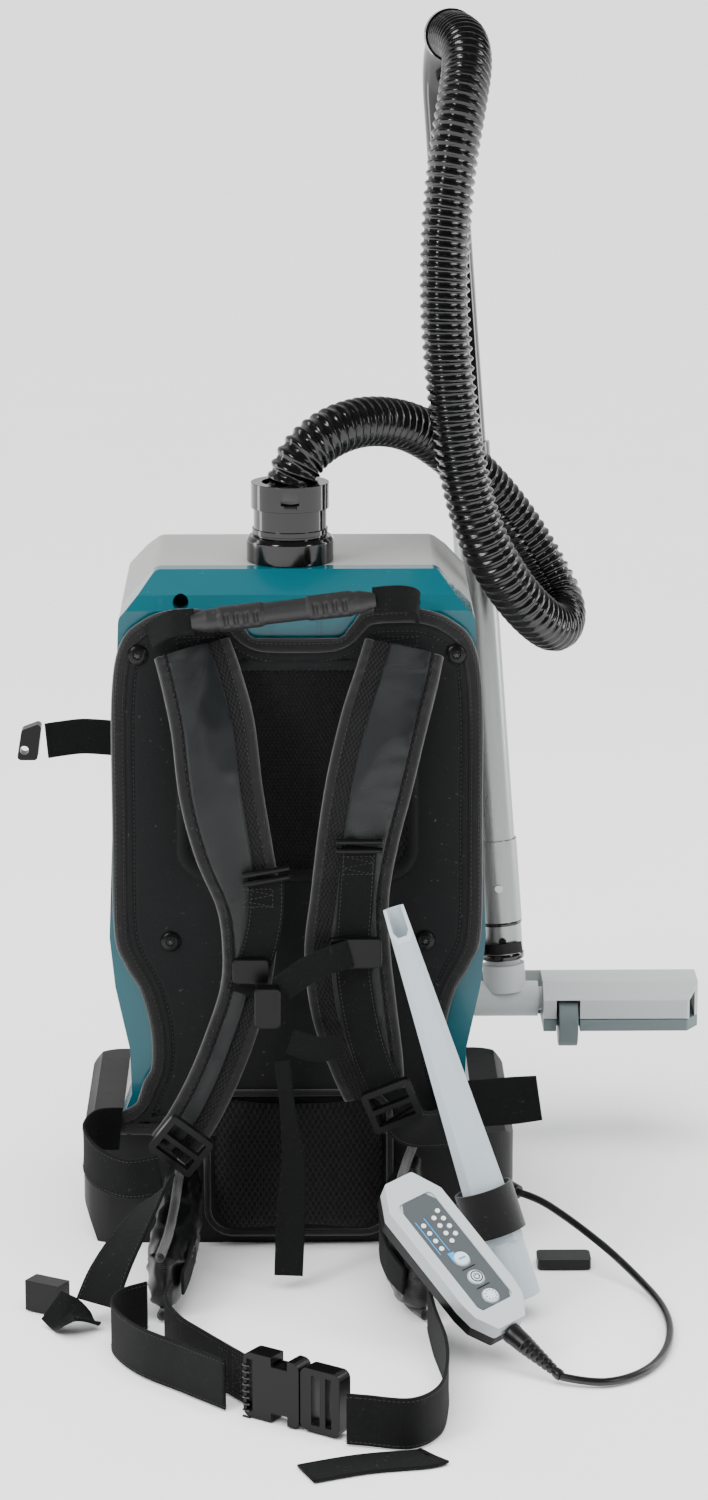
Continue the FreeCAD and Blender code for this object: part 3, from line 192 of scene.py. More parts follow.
def moulded(name, colour, rough, grain=0.04, grain_scale=1500, spread=0.06, coat=0.0, gloss=0.3):
    """Injection moulded plastic: fine grain, faint flow marks and handling scuffs."""
    finish = Finish(name, Coat_Weight=coat, Coat_Roughness=0.08, Specular_IOR_Level=gloss)
    flow = finish.noise(14, 3)
    scuff = finish.noise(90, 5, 0.7, stretch=(1, 1, 0.25))
    dust = finish.noise(5, 4, 0.6)
    tone = finish.mix(flow, darker(colour, 1 - spread), darker(colour, 1 + spread))
    lint = ((dust - 0.55) * 3.0).clamped() * 0.05
    tone = finish.mix(lint, tone, darker(colour, 2.2))
    marks = ((scuff - 0.56) * 5.0).clamped()
    fine = finish.noise(grain_scale, 2)
    roughness = rough + (flow - 0.5) * 0.1 + marks * 0.1
    return finish.paint(tone, roughness, fine + marks * 0.6, grain * MM)


def webbing_finish(name, colour, rib=0.0011, sheen=0.02):
    """Woven tape: ribs across it, a herringbone in them, and firm edges."""
    finish = Finish(name, Sheen_Weight=sheen, Sheen_Roughness=0.5, Specular_IOR_Level=0.12)
    at, across, along = finish.cloth()
    turn = 2 * math.pi
    rows = (along * (turn / rib)).sine() * 0.5 + 0.5
    threads = (across * (turn / 0.0016) + (along * (turn / (2 * rib))).sine() * 1.2).sine() * 0.5 + 0.5
    weave = rows * 0.6 + threads * 0.4
    fuzz = finish.noise(420, 3)
    fade = finish.noise(24, 3)
    tone = finish.mix(weave, darker(colour, 0.45), darker(colour, 1.35))
    tone = finish.mix(fade * 0.5, tone, darker(colour, 1.5))
    lint = ((fuzz - 0.66) * 6.0).clamped() * 0.12
    tone = finish.mix(lint, tone, (0.4, 0.4, 0.38))
    return finish.paint(tone, 0.78 + (fade - 0.5) * 0.12, weave + fuzz * 0.4, 0.35 * MM)


def satin_finish(name, colour):
    """Coated satin cloth: a close twill, with a painted shine along the folds: their crests are painted
    lighter.
    """
    finish = Finish(name, Sheen_Weight=0.01, Sheen_Roughness=0.35, Specular_IOR_Level=0.38)
    at, across, along = finish.cloth()
    turn = 2 * math.pi
    twill = ((across + along) * (turn / 0.0012)).sine() * 0.5 + 0.5
    cross = ((across - along) * (turn / 0.0021)).sine() * 0.5 + 0.5
    folds_and_painted_shine = finish.noise(30, 4, 0.6)
    wear = finish.noise(11, 3)
    # Painted highlight: the fold crests are painted lighter, as if lit; the folds' bump itself is real.
    tone = finish.mix(twill * 0.5 + folds_and_painted_shine * 0.5, darker(colour, 0.7), darker(colour, 1.4))
    tone = finish.mix(((wear - 0.5) * 2.5).clamped() * 0.35, tone, darker(colour, 1.9))
    return finish.paint(tone, 0.31 + (folds_and_painted_shine - 0.5) * 0.2, twill * 0.2 + cross * 0.1 + folds_and_painted_shine * 1.6, 0.7 * MM)


def mesh_finish(name, colour, cell=0.0032, depth=0.9):
    """Spacer mesh: rounded holes in staggered rows, painted dark inside as their shade."""
    finish = Finish(name, Sheen_Weight=0.02, Sheen_Roughness=0.6, Specular_IOR_Level=0.25)
    at, across, along = finish.cloth()
    turn = 2 * math.pi / cell
    wave_a = (across * turn).sine() * (along * (turn * 0.58)).sine()
    wave_b = ((across + along * 0.58) * (turn * 0.5)).sine() * ((across - along * 0.58) * (turn * 0.5)).sine()
    shaded_hole = ((wave_a.size() * 0.35 + wave_b.size() - 0.3) * 2.4).clamped()
    fuzz = finish.noise(500, 2)
    fade = finish.noise(16, 3)
    # Painted shade: the holes are painted near black, as the shade inside them.
    tone = finish.mix(shaded_hole, darker(colour, 2.2), darker(colour, 0.2))
    tone = finish.mix(fade * 0.35, tone, darker(colour, 2.0))
    return finish.paint(tone, 0.8 + fuzz * 0.1, (1 - shaded_hole) + fuzz * 0.25, depth * MM)


def foam_finish(name, colour):
    """Brushed knit over foam: short pile, tiny pores and faint pressing marks."""
    finish = Finish(name, Sheen_Weight=0.02, Sheen_Roughness=0.6, Specular_IOR_Level=0.25)
    pile = finish.noise(900, 4, 0.7)
    pores = finish.add("ShaderNodeTexVoronoi", {"Vector": finish.place(), "Scale": 520.0})
    cloud = finish.noise(9, 4, 0.6)
    tone = finish.mix(cloud, darker(colour, 0.8), darker(colour, 1.25))
    tone = finish.mix(pile * 0.5, tone, darker(colour, 1.6))
    lint = ((finish.noise(300, 2) - 0.7) * 8.0).clamped() * 0.2
    tone = finish.mix(lint, tone, (0.35, 0.35, 0.35))
    return finish.paint(tone, 0.86 + (cloud - 0.5) * 0.1, pile + pores * 0.6, 0.3 * MM)


def rubber_finish(name, colour, rough, speck=0.05):
    finish = Finish(name, Specular_IOR_Level=0.55)
    cloud = finish.noise(40, 4, 0.6)
    fine = finish.noise(1800, 2)
    tone = finish.mix(cloud, darker(colour, 0.75), darker(colour, 1.3))
    dust = ((finish.noise(160, 4, 0.7) - 0.6) * 5.0).clamped() * speck
    tone = finish.mix(dust, tone, (0.5, 0.5, 0.48))
    return finish.paint(tone, rough + (cloud - 0.5) * 0.16, fine, 0.03 * MM)


def aluminium_finish(name, colour, rough):
    """Drawn tube: fine lines along its length and a clear anodised skin."""
    finish = Finish(name, Metallic=1.0)
    lines = finish.noise(700, 2, 0.5, stretch=(1, 1, 0.02))
    cloud = finish.noise(18, 3, stretch=(1, 1, 0.3))
    tone = finish.mix(lines * 0.6 + cloud * 0.4, darker(colour, 0.86), darker(colour, 1.08))
    return finish.paint(tone, rough + (lines - 0.5) * 0.12 + (cloud - 0.5) * 0.08, lines, 0.02 * MM)


def metal_finish(name, colour, rough):
    finish = Finish(name, Metallic=1.0)
    cloud = finish.noise(60, 4)
    fine = finish.noise(1200, 2, stretch=(1, 1, 0.1))
    tone = finish.mix(cloud, darker(colour, 0.85), darker(colour, 1.1))
    return finish.paint(tone, rough + (cloud - 0.5) * 0.1, fine, 0.02 * MM)


TEAL = moulded("teal_shell", (0.0, 0.072, 0.094), 0.22, 0.01, 900, 0.05, 0.25)
GREY = moulded("warm_grey_shell", (0.27, 0.27, 0.265), 0.42, 0.03, 1300, 0.03)
GLOSS_BLACK = moulded("gloss_black", (0.0025, 0.0025, 0.0028), 0.13, 0.008, 700, 0.2, 0.2, 0.5)
BASE_BLACK = moulded("satin_black", (0.0032, 0.0032, 0.0035), 0.5, 0.06, 1500, 0.15)
INNER_BLACK = moulded("inner_moulding", (0.05, 0.05, 0.053), 0.6)
BUCKLE_BLACK = moulded("buckle_black", (0.0024, 0.0024, 0.0027), 0.3, 0.03, 1300, 0.2, 0.0, 0.22)
HOSE_BLACK = rubber_finish("hose_rubber", (0.0022, 0.0022, 0.0025), 0.17)
CABLE_BLACK = rubber_finish("cable_sheath", (0.003, 0.003, 0.0035), 0.36)
GRIP_BLACK = rubber_finish("grip_rubber", (0.0075, 0.0075, 0.0078), 0.55, 0.08)
SATIN = satin_finish("satin_panel", (0.0045, 0.0058, 0.0062))
MESH = mesh_finish("spacer_mesh", (0.005, 0.005, 0.0053))
LUMBAR_MESH = mesh_finish("lumbar_mesh", (0.0042, 0.0042, 0.0045), 0.0046, 1.3)
FOAM = foam_finish("foam_pad", (0.0052, 0.0056, 0.006))
BINDING = webbing_finish("binding_tape", (0.0045, 0.0045, 0.0048), 0.0009, 0.35)
WEBBING = webbing_finish("webbing", (0.0046, 0.005, 0.0049))
HIP_CLOTH = satin_finish("hip_cloth", (0.002, 0.0022, 0.0024))
# Near-black sheet over the pad well's floor: painted shade at the bottom of the recess.
WELL_SHADE = mesh_finish("painted_well_shade", (0.0012, 0.0012, 0.0013))
ELASTIC = webbing_finish("elastic", (0.005, 0.005, 0.0055), 0.0015, 0.3)
CREVICE = moulded("pale_blue_plastic", (0.45, 0.52, 0.56), 0.4, 0.02, 1500, 0.02)
REMOTE = moulded("remote_grey", (0.46, 0.5, 0.51), 0.42, 0.05, 2200, 0.02)
PANEL = moulded("remote_panel", (0.07, 0.08, 0.085), 0.4, 0.02, 2600, 0.05)
NOZZLE = moulded("off_white", (0.42, 0.45, 0.45), 0.4, 0.03, 1700, 0.02)
NOZZLE_BASE = moulded("grey_green", (0.12, 0.155, 0.16), 0.5, 0.04, 1500, 0.06)
WHEEL = moulded("wheel_grey", (0.11, 0.14, 0.145), 0.55, 0.05, 1500, 0.06)
ALUMINIUM = aluminium_finish("satin_tube", (0.3, 0.31, 0.31), 0.3)
STEEL = metal_finish("steel", (0.5, 0.5, 0.5), 0.3)
BRASS = metal_finish("brass", (0.75, 0.55, 0.25), 0.3)
BOARD = moulded("board", (0.01, 0.1, 0.04), 0.4)
PAPER = foam_finish("filter_fleece", (0.42, 0.41, 0.38))
# Black for printed marks on the remote, and painted shade inside the sleeve's hole.
PRINT_AND_SHADE_BLACK = moulded("print_and_painted_shade_black", (0.004, 0.004, 0.004), 0.7)


# ---- meshes -----------------------------------------------------------------
def unit(rows):
    return rows / np.maximum(np.linalg.norm(rows, axis=-1, keepdims=True), 1e-12)


def make_mesh(name, points, faces, finishes, kinds=None, cloth=None):
    mesh = bpy.data.meshes.new(name)
    mesh.from_pydata([tuple(p) for p in points], [], faces)
    for finish in finishes:
        mesh.materials.append(finish)
    if kinds is not None:
        mesh.polygons.foreach_set("material_index", kinds)
    if cloth is not None:
        layer = mesh.uv_layers.new(name="cloth")
        layer.data.foreach_set("uv", np.asarray(cloth, float).ravel())
    mesh.polygons.foreach_set("use_smooth", [True] * len(mesh.polygons))
    mesh.validate()
    piece = bpy.data.objects.new(name, mesh)
    bpy.context.scene.collection.objects.link(piece)
    return piece


def smooth(stations, steps):
    """Catmull-Rom rows through rows of numbers."""
    rows = np.array(stations, float)
    ends = np.vstack([rows[:1], rows, rows[-1:]])
    made = []
    for k in range(len(rows) - 1):
        a, b, c, d = ends[k : k + 4]
        for t in np.arange(steps) / steps:
            made.append(0.5 * (2 * b + (c - a) * t + (2 * a - 5 * b + 4 * c - d) * t**2
                               + (3 * b - a - 3 * c + d) * t**3))
    return np.array(made + [rows[-1]])


def axes_along(middles, sides):
    """Unit along, side and out directions at each row of a path."""
    along = unit(np.gradient(middles, axis=0))
    side = unit(sides - along * np.sum(along * sides, axis=1, keepdims=True))
    return along, side, np.cross(along, side)


def sweep(name, rows, section, finishes, steps=8, ripple=None):
    """A section swept along stations x, y, z, width direction, width.

    section(width) gives the loop's points across and out, and each edge's finish."""
    rows = smooth(rows, steps) if steps else np.array(rows, float)
    middles = rows[:, :3]
    along, side, out = axes_along(middles, rows[:, 3:6])
    lengths = np.concatenate([[0], np.cumsum(np.linalg.norm(np.diff(middles, axis=0), axis=1))])
    points, coords = [], []
    count = None
    for k, row in enumerate(rows):
        loop, kinds = section(row[6])
        loop = np.array(loop)
        count = len(loop)
        sides_long = np.linalg.norm(np.diff(loop, axis=0, append=loop[:1]), axis=1)
        girth = np.concatenate([[0], np.cumsum(sides_long)])
        lift = ripple(lengths[k], loop[:, 0], row[6], k / (len(rows) - 1)) if ripple else 0
        raised = loop[:, 1] + lift * np.sign(loop[:, 1]).clip(0, 1)
        points.append(middles[k] + side[k] * loop[:, :1] + out[k] * raised[:, None])
        coords.append([(g, lengths[k]) for g in girth])
    points = np.concatenate(points)
    faces, uv, finish_of = [], [], []
    rings = len(rows)
    for k in range(rings - 1):
        j = k + 1
        for i in range(count):
            n = (i + 1) % count
            faces.append((k * count + i, k * count + n, j * count + n, j * count + i))
            far = lengths[k] + np.linalg.norm(middles[j] - middles[k])
            uv += [coords[k][i], coords[k][i + 1], (coords[k][i + 1][0], far), (coords[k][i][0], far)]
            finish_of.append(kinds[i])
    for k, order in ((0, -1), (rings - 1, 1)):
        ring = [k * count + i for i in range(count)][::order]
        faces.append(tuple(ring))
        uv += [coords[k][i] for i in range(count)][::order]
        finish_of.append(kinds[0])
    piece = make_mesh(name, points, faces, finishes, finish_of, uv)
    face_outwards(piece)
    return piece


def face_outwards(piece):
    shape = bmesh.new()
    shape.from_mesh(piece.data)
    bmesh.ops.recalc_face_normals(shape, faces=shape.faces)
    shape.to_mesh(piece.data)
    shape.free()


def flat_section(thick, edge=0.0006):
    """Woven tape: flat, with slightly fuller edges."""
    def section(width):
        w, t = width / 2, thick / 2
        loop = [(-w, -t * 0.5), (-w + edge, -t * 1.15), (-w + 3 * edge, -t), (w - 3 * edge, -t),
                (w - edge, -t * 1.15), (w, -t * 0.5), (w, t * 0.5), (w - edge, t * 1.15), (w - 3 * edge, t),
                (w * 0.33, t), (-w * 0.33, t), (-w + 3 * edge, t), (-w + edge, t * 1.15), (-w, t * 0.5)]
        return loop, [0] * len(loop)
    return section


def shown(piece, body, slot, *nodes):
    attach(piece, body)
    if nodes:
        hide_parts(*nodes)
    return piece


def joined(name, pieces):
    """One mesh from several, each with its own finishes."""
    shape = bmesh.new()
    finishes = []
    for piece in pieces:
        mesh = piece.data
        start = len(shape.faces)
        places = []
        for finish in mesh.materials:
            if finish not in finishes:
                finishes.append(finish)
            places.append(finishes.index(finish))
        shape.from_mesh(mesh)
        shape.faces.ensure_lookup_table()
        for face in shape.faces[start:]:
            face.material_index = places[face.material_index] if places else 0
        bpy.data.objects.remove(piece)
    made = bpy.data.meshes.new(name)
    shape.to_mesh(made)
    shape.free()
    for finish in finishes:
        made.materials.append(finish)
    piece = bpy.data.objects.new(name, made)
    bpy.context.scene.collection.objects.link(piece)
    return piece


def finished_copy(node, body, slot, finish, bevel=0.8, angle=28, segments=3):
    """A welded copy of a CAD node with rounded edges, which stands for it."""
    mesh = frame["nodes"][node].data.copy()
    mesh.materials.clear()
    mesh.materials.append(finish)
    shape = bmesh.new()
    shape.from_mesh(mesh)
    bmesh.ops.remove_doubles(shape, verts=shape.verts, dist=2e-6)
    bmesh.ops.dissolve_limit(shape, angle_limit=math.radians(0.6), verts=shape.verts, edges=shape.edges)
    for face in shape.faces:
        face.smooth = True
        face.material_index = 0
    shape.to_mesh(mesh)
    shape.free()
    piece = bpy.data.objects.new(node + "_skin", mesh)
    bpy.context.scene.collection.objects.link(piece)
    if bevel:
        rounding = piece.modifiers.new("rounding", "BEVEL")
        rounding.width = bevel * MM
        rounding.segments = segments
        rounding.limit_method = "ANGLE"
        rounding.angle_limit = math.radians(angle)
        rounding.use_clamp_overlap = True
        rounding.harden_normals = True
    mesh.set_sharp_from_angle(angle=math.radians(angle))
    return shown(piece, body, slot, node)


def repaint(node, finish):
    piece = frame["nodes"][node]
    for place in piece.material_slots:
        place.material = finish


# ---- camera, floor and light --------------------------------------------------
def make_stage():
    camera = bpy.data.cameras.new("camera")
    camera.sensor_fit = "VERTICAL"
    camera.sensor_height = 36
    camera.lens = 99.2
    camera.clip_end = 50
    holder = bpy.data.objects.new("camera", camera)
    holder.location = (0, -3.215, 1.153)
    holder.rotation_euler = (math.radians(90 - 13.6), 0, math.radians(-0.81))
    bpy.context.scene.collection.objects.link(holder)
    bpy.context.scene.camera = holder

    floor_finish = Finish("floor")
    mottle = floor_finish.noise(3, 2)
    floor_finish.paint(floor_finish.mix(mottle, (0.93, 0.93, 0.93), (0.97, 0.97, 0.97)), 0.9)
    floor = make_mesh("floor", [(-40, -40, 0), (40, -40, 0), (40, 40, 0), (-40, 40, 0)], [(0, 1, 2, 3)],
                      [floor_finish.material])

    make_world()
    sky = bpy.data.lights.new("sky", "SUN")
    sky.energy = 6.0
    sky.angle = math.radians(80)
    holder = bpy.data.objects.new("sky", sky)
    holder.rotation_euler = (math.radians(12), math.radians(-10), 0)
    holder.visible_glossy = False
    bpy.context.scene.collection.objects.link(holder)
    lights = (
        ("key", (-1.5, -1.7, 1.9), (0.5, 1.3), 34, (0, -0.1, 0.4)),
        ("fill", (1.9, -1.5, 1.4), (0.35, 1.2), 16, (0, 0, 0.4)),
        ("left", (-1.9, 0.5, 0.9), (0.4, 1.6), 12, (0, 0, 0.4)),
        ("right", (1.9, 0.7, 0.9), (0.4, 1.6), 14, (0, 0, 0.5)),
    )
    for name, at, size, power, target in lights:
        lamp = bpy.data.lights.new(name, "AREA")
        lamp.shape = "RECTANGLE"
        lamp.size, lamp.size_y = size
        lamp.energy = power
        holder = bpy.data.objects.new(name, lamp)
        holder.location = at
        way = Vector(target) - Vector(at)
        holder.rotation_euler = way.to_track_quat("-Z", "Y").to_euler()
        bpy.context.scene.collection.objects.link(holder)


def make_world():
    """A studio that's dark behind the camera and bright behind the object."""
    world = bpy.data.worlds.new("studio")
    world.use_nodes = True
    tree = world.node_tree
    place = tree.nodes.new("ShaderNodeTexCoord")
    split = tree.nodes.new("ShaderNodeSeparateXYZ")
    spread = tree.nodes.new("ShaderNodeMapRange")
    spread.interpolation_type = "SMOOTHSTEP"
    for socket, value in (("From Min", 0.0), ("From Max", 0.85), ("To Min", 0.12), ("To Max", 1.0)):
        spread.inputs[socket].default_value = value
    tree.links.new(place.outputs["Generated"], split.inputs["Vector"])
    tree.links.new(split.outputs["Y"], spread.inputs["Value"])
    tree.links.new(spread.outputs["Result"], tree.nodes["Background"].inputs["Strength"])
    tree.nodes["Background"].inputs["Color"].default_value = (1, 1, 1, 1)
    bpy.context.scene.world = world


# ---- cords ----------------------------------------------------------------------
HOSE_ROUTE = [
    (-5, -40, 590), (-3, -40, 608), (10, -33, 626), (32, -16, 638), (60, 14, 640),
    (95, 52, 628), (132, 90, 596), (170, 120, 552), (200, 134, 505), (220, 122, 468),
    (214, 82, 454), (192, 44, 474), (165, 20, 510), (142, 8, 556), (129, 2, 612),
    (121, 2, 668), (116, 6, 728), (117, 14, 788), (122, 25, 840), (130.5, 45, 884),
    (137, 79, 917), (132.9, 121.9, 931.5), (126.5, 161.3, 929.4),
]
CABLE_ROUTE = [
    (190, -411, 6.5), (212, -419, 4.4), (236, -412, 4.2), (257, -390, 4.2),
    (272, -354, 4.2), (279, -308, 4.2), (276, -262, 4.4), (263, -222, 8), (243, -190, 19),
    (224, -167, 28), (206, -148, 36), (188.4, -129.4, 42), (174.3, -115.3, 42),
]


def route_line(name, route, resolution):
    """A NURBS curve on the route, and the points of its smooth line."""
    curve = bpy.data.curves.new(name, "CURVE")
    curve.dimensions = "3D"
    curve.resolution_u = resolution
    spline = curve.splines.new("NURBS")
    spline.points.add(len(route) - 1)
    for point, at in zip(spline.points, route):
        point.co = (at[0] * MM, at[1] * MM, at[2] * MM, 1)
    spline.order_u = 3
    spline.use_endpoint_u = True
    piece = bpy.data.objects.new(name, curve)
    bpy.context.scene.collection.objects.link(piece)
    bpy.context.view_layer.update()
    bare = bpy.data.meshes.new_from_object(piece.evaluated_get(bpy.context.evaluated_depsgraph_get()))
    line = np.array([v.co[:] for v in bare.vertices])
    bpy.data.meshes.remove(bare)
    return piece, line


def spaced(line, step):
    """Points at even steps along a line, and its length."""
    runs = np.concatenate([[0], np.cumsum(np.linalg.norm(np.diff(line, axis=0), axis=1))])
    count = max(2, int(round(runs[-1] / step)) + 1)
    at = np.linspace(0, runs[-1], count)
    return np.stack([np.interp(at, runs, line[:, i]) for i in range(3)], axis=1), runs[-1]


def steady_axes(line):
    """Directions across a line that don't twist along it."""
    along = unit(np.gradient(line, axis=0))
    side = unit(np.cross(along[0], (0.3, 1, 0.2)))
    sides = []
    for way in along:
        side = unit(side - way * np.dot(side, way))
        sides.append(side)
    sides = np.array(sides)
    return along, sides, np.cross(along, sides)


def make_hose():
    curve, line = route_line("hose_line", HOSE_ROUTE, 24)
    bpy.data.objects.remove(curve)
    pitch, around, samples = 0.0078, 48, 10
    line, length = spaced(line, pitch / samples)
    along, side, out = steady_axes(line)
    angle = np.arange(around) * 2 * math.pi / around
    at = np.arange(len(line))[:, None] / samples + angle[None, :] / (2 * math.pi)
    turn = at - np.floor(at)
    crest = np.clip(1 - np.abs(turn - 0.5) / 0.3, 0, 1) ** 0.45
    cords = 0.5 + 0.5 * np.cos(angle[None, :] * 12)
    valley = (1 - crest) * (0.00035 * cords)
    radius = 0.0172 + 0.0028 * crest + valley
    rings = (line[:, None, :] + side[:, None, :] * (np.cos(angle)[None, :, None] * radius[..., None])
             + out[:, None, :] * (np.sin(angle)[None, :, None] * radius[..., None]))
    points = rings.reshape(-1, 3)
    faces = []
    for k in range(len(line) - 1):
        for i in range(around):
            n = (i + 1) % around
            faces.append((k * around + i, k * around + n, (k + 1) * around + n, (k + 1) * around + i))
    faces.append(tuple(range(around))[::-1])
    faces.append(tuple((len(line) - 1) * around + i for i in range(around)))
    hose = make_mesh("ribbed_hose", points, faces, [HOSE_BLACK])
    face_outwards(hose)
    shown(hose, "root", "hose_rubber", "hose")


def make_cable():
    cable, line = route_line("cable", CABLE_ROUTE, 16)
    cable.data.bevel_depth = 0.003
    cable.data.bevel_resolution = 5
    cable.data.use_fill_caps = True
    cable.data.materials.append(CABLE_BLACK)
    shown(cable, "root", "cable_rubber", "remote_cable")
    relief = make_relief()
    return relief


def turned_piece(name, start, end, profile, finish, around=28):
    """A solid of revolution: profile rows are the share of its length and the radius."""
    start, end = np.array(start), np.array(end)
    way = end - start
    along = unit(way)
    side = unit(np.cross(along, (0.2, 0.9, 0.31)))
    out = np.cross(along, side)
    points, faces = [], []
    for share, radius in profile:
        for k in range(around):
            a = 2 * math.pi * k / around
            points.append(start + way * share + side * (radius * math.cos(a)) + out * (radius * math.sin(a)))
    for k in range(len(profile) - 1):
        for i in range(around):
            n = (i + 1) % around
            faces.append((k * around + i, k * around + n, (k + 1) * around + n, (k + 1) * around + i))
    faces.append(tuple(range(around))[::-1])
    faces.append(tuple((len(profile) - 1) * around + i for i in range(around)))
    piece = make_mesh(name, points, faces, [finish])
    piece.data.set_sharp_from_angle(angle=math.radians(50))
    face_outwards(piece)
    return piece


REMOTE_FOOT = np.array((0.153, -0.376, 0.029))
RELIEF_END = np.array((0.190, -0.411, 0.0065))


def make_relief():
    way = unit(RELIEF_END - REMOTE_FOOT)
    profile = [(0, 0.0078), (0.06, 0.008), (0.1, 0.0076)]
    for k in range(7):
        start = 0.3 + 0.09 * k
        radius = 0.0071 - 0.0005 * k
        profile += [(start, radius), (start + 0.012, radius - 0.0009), (start + 0.03, radius - 0.0009),
                    (start + 0.042, radius - 0.0002)]
    profile += [(0.96, 0.0043), (1.0, 0.0036)]
    relief = turned_piece("strain_relief_sleeve", REMOTE_FOOT + way * 0.0025, RELIEF_END, profile,
                          CABLE_BLACK)
    shown(relief, "root", "cable_rubber", "strain_relief")



# ---- harness: straps and webbing ------------------------------------------------
def harness(stations):
    """Stations x, out of the pad, z, width direction, width, in the shared frame."""
    return [(x * MM, PAD_FACE - out * MM, z * MM, ux, uy, uz, w * MM)
            for x, out, z, ux, uy, uz, w in stations]


TAPE = 0.0075
LEFT_STRAP = [
    (-80, 9, 486, 1, 0, 0, 60), (-73, 22, 466, 1, 0, 0.05, 62), (-64, 42, 432, 1, 0, 0.1, 64),
    (-58, 55, 385, 1, 0, 0.15, 64), (-49, 58, 342, 1, 0, 0.2, 60), (-38, 56, 300, 1, 0, 0.1, 50),
    (-37, 52, 262, 1, 0, 0, 42), (-41, 50, 226, 1, 0, -0.2, 38), (-53, 53, 188, 1, 0, -0.4, 38),
    (-68, 58, 152, 1, 0, -0.6, 38), (-84, 66, 124, 0.9, 0, -0.8, 38), (-100, 74, 106, 0.7, 0, -1, 36),
]
RIGHT_STRAP = [
    (82, 9, 486, 1, 0, 0, 62), (76, 22, 466, 1, 0, -0.05, 64), (66, 42, 436, 1, 0, -0.1, 66),
    (55, 54, 392, 1, 0, -0.15, 66), (46, 57, 348, 1, 0, -0.1, 62), (40, 56, 304, 1, 0, 0, 60),
    (38, 54, 258, 1, 0, 0, 66), (43, 52, 212, 1, 0, 0.05, 66), (52, 53, 172, 1, 0, 0.1, 58),
    (59, 55, 144, 1, 0, 0.15, 48),
]
LEFT_LOOP = [
    (-140, 6, 100, 0, 0.1, 1, 34), (-158, 22, 104, 0, 0, 1, 34), (-166, 44, 99, 0, 0, 1, 34),
    (-156, 66, 90, 0, 0, 1, 34), (-132, 84, 86, 0, 0, 1, 32), (-106, 91.5, 92, 0, 0.2, 1, 30),
]
LEFT_TAIL = [
    (-97, 105.5, 92, 0.8, 0, 1, 30), (-112, 120, 81, 0.9, -0.2, 0.8, 34), (-127, 140, 64, 1, -0.3, 0.6, 36),
    (-142, 162, 42, 1, -0.4, 0.3, 36), (-152, 176, 20, 1, -0.4, 0.2, 36),
]
LEFT_FOLD = [
    (-158, 190, 12, 1, -0.4, 0, 32), (-166, 184, 11, 1, -0.4, 0, 32), (-176, 176, 12, 1, -0.4, 0.1, 30),
    (-186, 168, 16, 1, -0.3, 0.2, 26),
]
LEFT_WEB = [
    (-24, 66, 322, 1, 0, 0.2, 27), (-24, 65, 296, 1, 0, 0.1, 27), (-28, 62, 270, 1, 0, 0, 27),
    (-36, 58, 244, 1, 0, -0.1, 27), (-42, 57, 226, 1, 0, -0.2, 27),
]
RIGHT_WEB = [
    (47, 65, 345, 1, 0, 0, 27), (44, 64.5, 300, 1, 0, 0, 27), (42, 62.5, 255, 1, 0, 0, 27),
    (47, 60.5, 212, 1, 0, 0.1, 27), (56, 61.5, 176, 1, 0, 0.2, 27), (67, 64, 150, 1, 0, 0.3, 27),
]
RIGHT_WEB_TAIL = [
    (78, 62, 130, 1, 0, 0.6, 30), (88, 50, 116, 1, 0, 1, 34), (102, 32, 108, 0.6, 0, 1, 36),
    (120, 14, 104, 0.3, 0, 1, 36),
]
STERNUM_UPPER = [(40, 74.5, 263, 0, 0, 1, 22), (12, 80, 254, 0.3, 0, 1, 22), (-12, 83, 238, 0.6, 0, 1, 22)]
STERNUM_LOWER = [(-6, 84, 196, 0.4, 0, 1, 20), (14, 84, 190, 0.3, 0, 1, 20), (34, 78, 190, 0.2, 0, 1, 20)]
STERNUM_TAIL = [
    (-12, 84, 180, 1, 0, 0, 12), (-8, 84, 140, 1, 0, 0, 12), (-4, 85, 100, 1, 0, 0, 18),
    (-6, 90, 60, 1, 0, 0, 22), (-8, 98, 12, 1, 0, 0, 22),
]


def padded_section(thick, left, right):
    """Bound tape, a mesh margin, a crowned satin panel, a mesh margin and tape."""
    def section(width):
        h, t = width / 2, thick / 2
        rows = [(share * (h - TAPE), -t * 0.85, 1) for share in (-0.9, -0.45, 0, 0.45, 0.9)]
        for a in range(-90, 91, 30):
            a = math.radians(a)
            rows.append((h - TAPE * 0.5 + TAPE * 0.5 * math.cos(a), t * 0.8 * math.sin(a), 0))
        rows.append((h - TAPE, t * 0.62, 1))
        rows.append((h - TAPE - right * 0.5 - 0.0004, t * (0.62 if right < 0.002 else 0.95), 1))
        start, end = h - TAPE - right - 0.0008, -h + TAPE + left + 0.0008
        rows.append((start, t * 0.55, 2))
        for share in (0.02, 0.06, 0.14, 0.26, 0.38, 0.5, 0.62, 0.74, 0.86, 0.94, 0.98):
            crown = t * (0.98 + 0.3 * math.sin(math.pi * share) ** 0.6)
            rows.append((start + (end - start) * share, crown, 2))
        rows.append((end, t * 0.55, 1))
        rows.append((-h + TAPE + left * 0.5 + 0.0004, t * (0.62 if left < 0.002 else 0.95), 1))
        rows.append((-h + TAPE, t * 0.62, 0))
        for a in range(90, 271, 30):
            a = math.radians(a)
            across = -h + TAPE * 0.5 + TAPE * 0.5 * math.cos(a)
            rows.append((across, t * 0.8 * math.sin(a), 0 if a < 4.6 else 1))
        return [row[:2] for row in rows], [row[2] for row in rows]
    return section


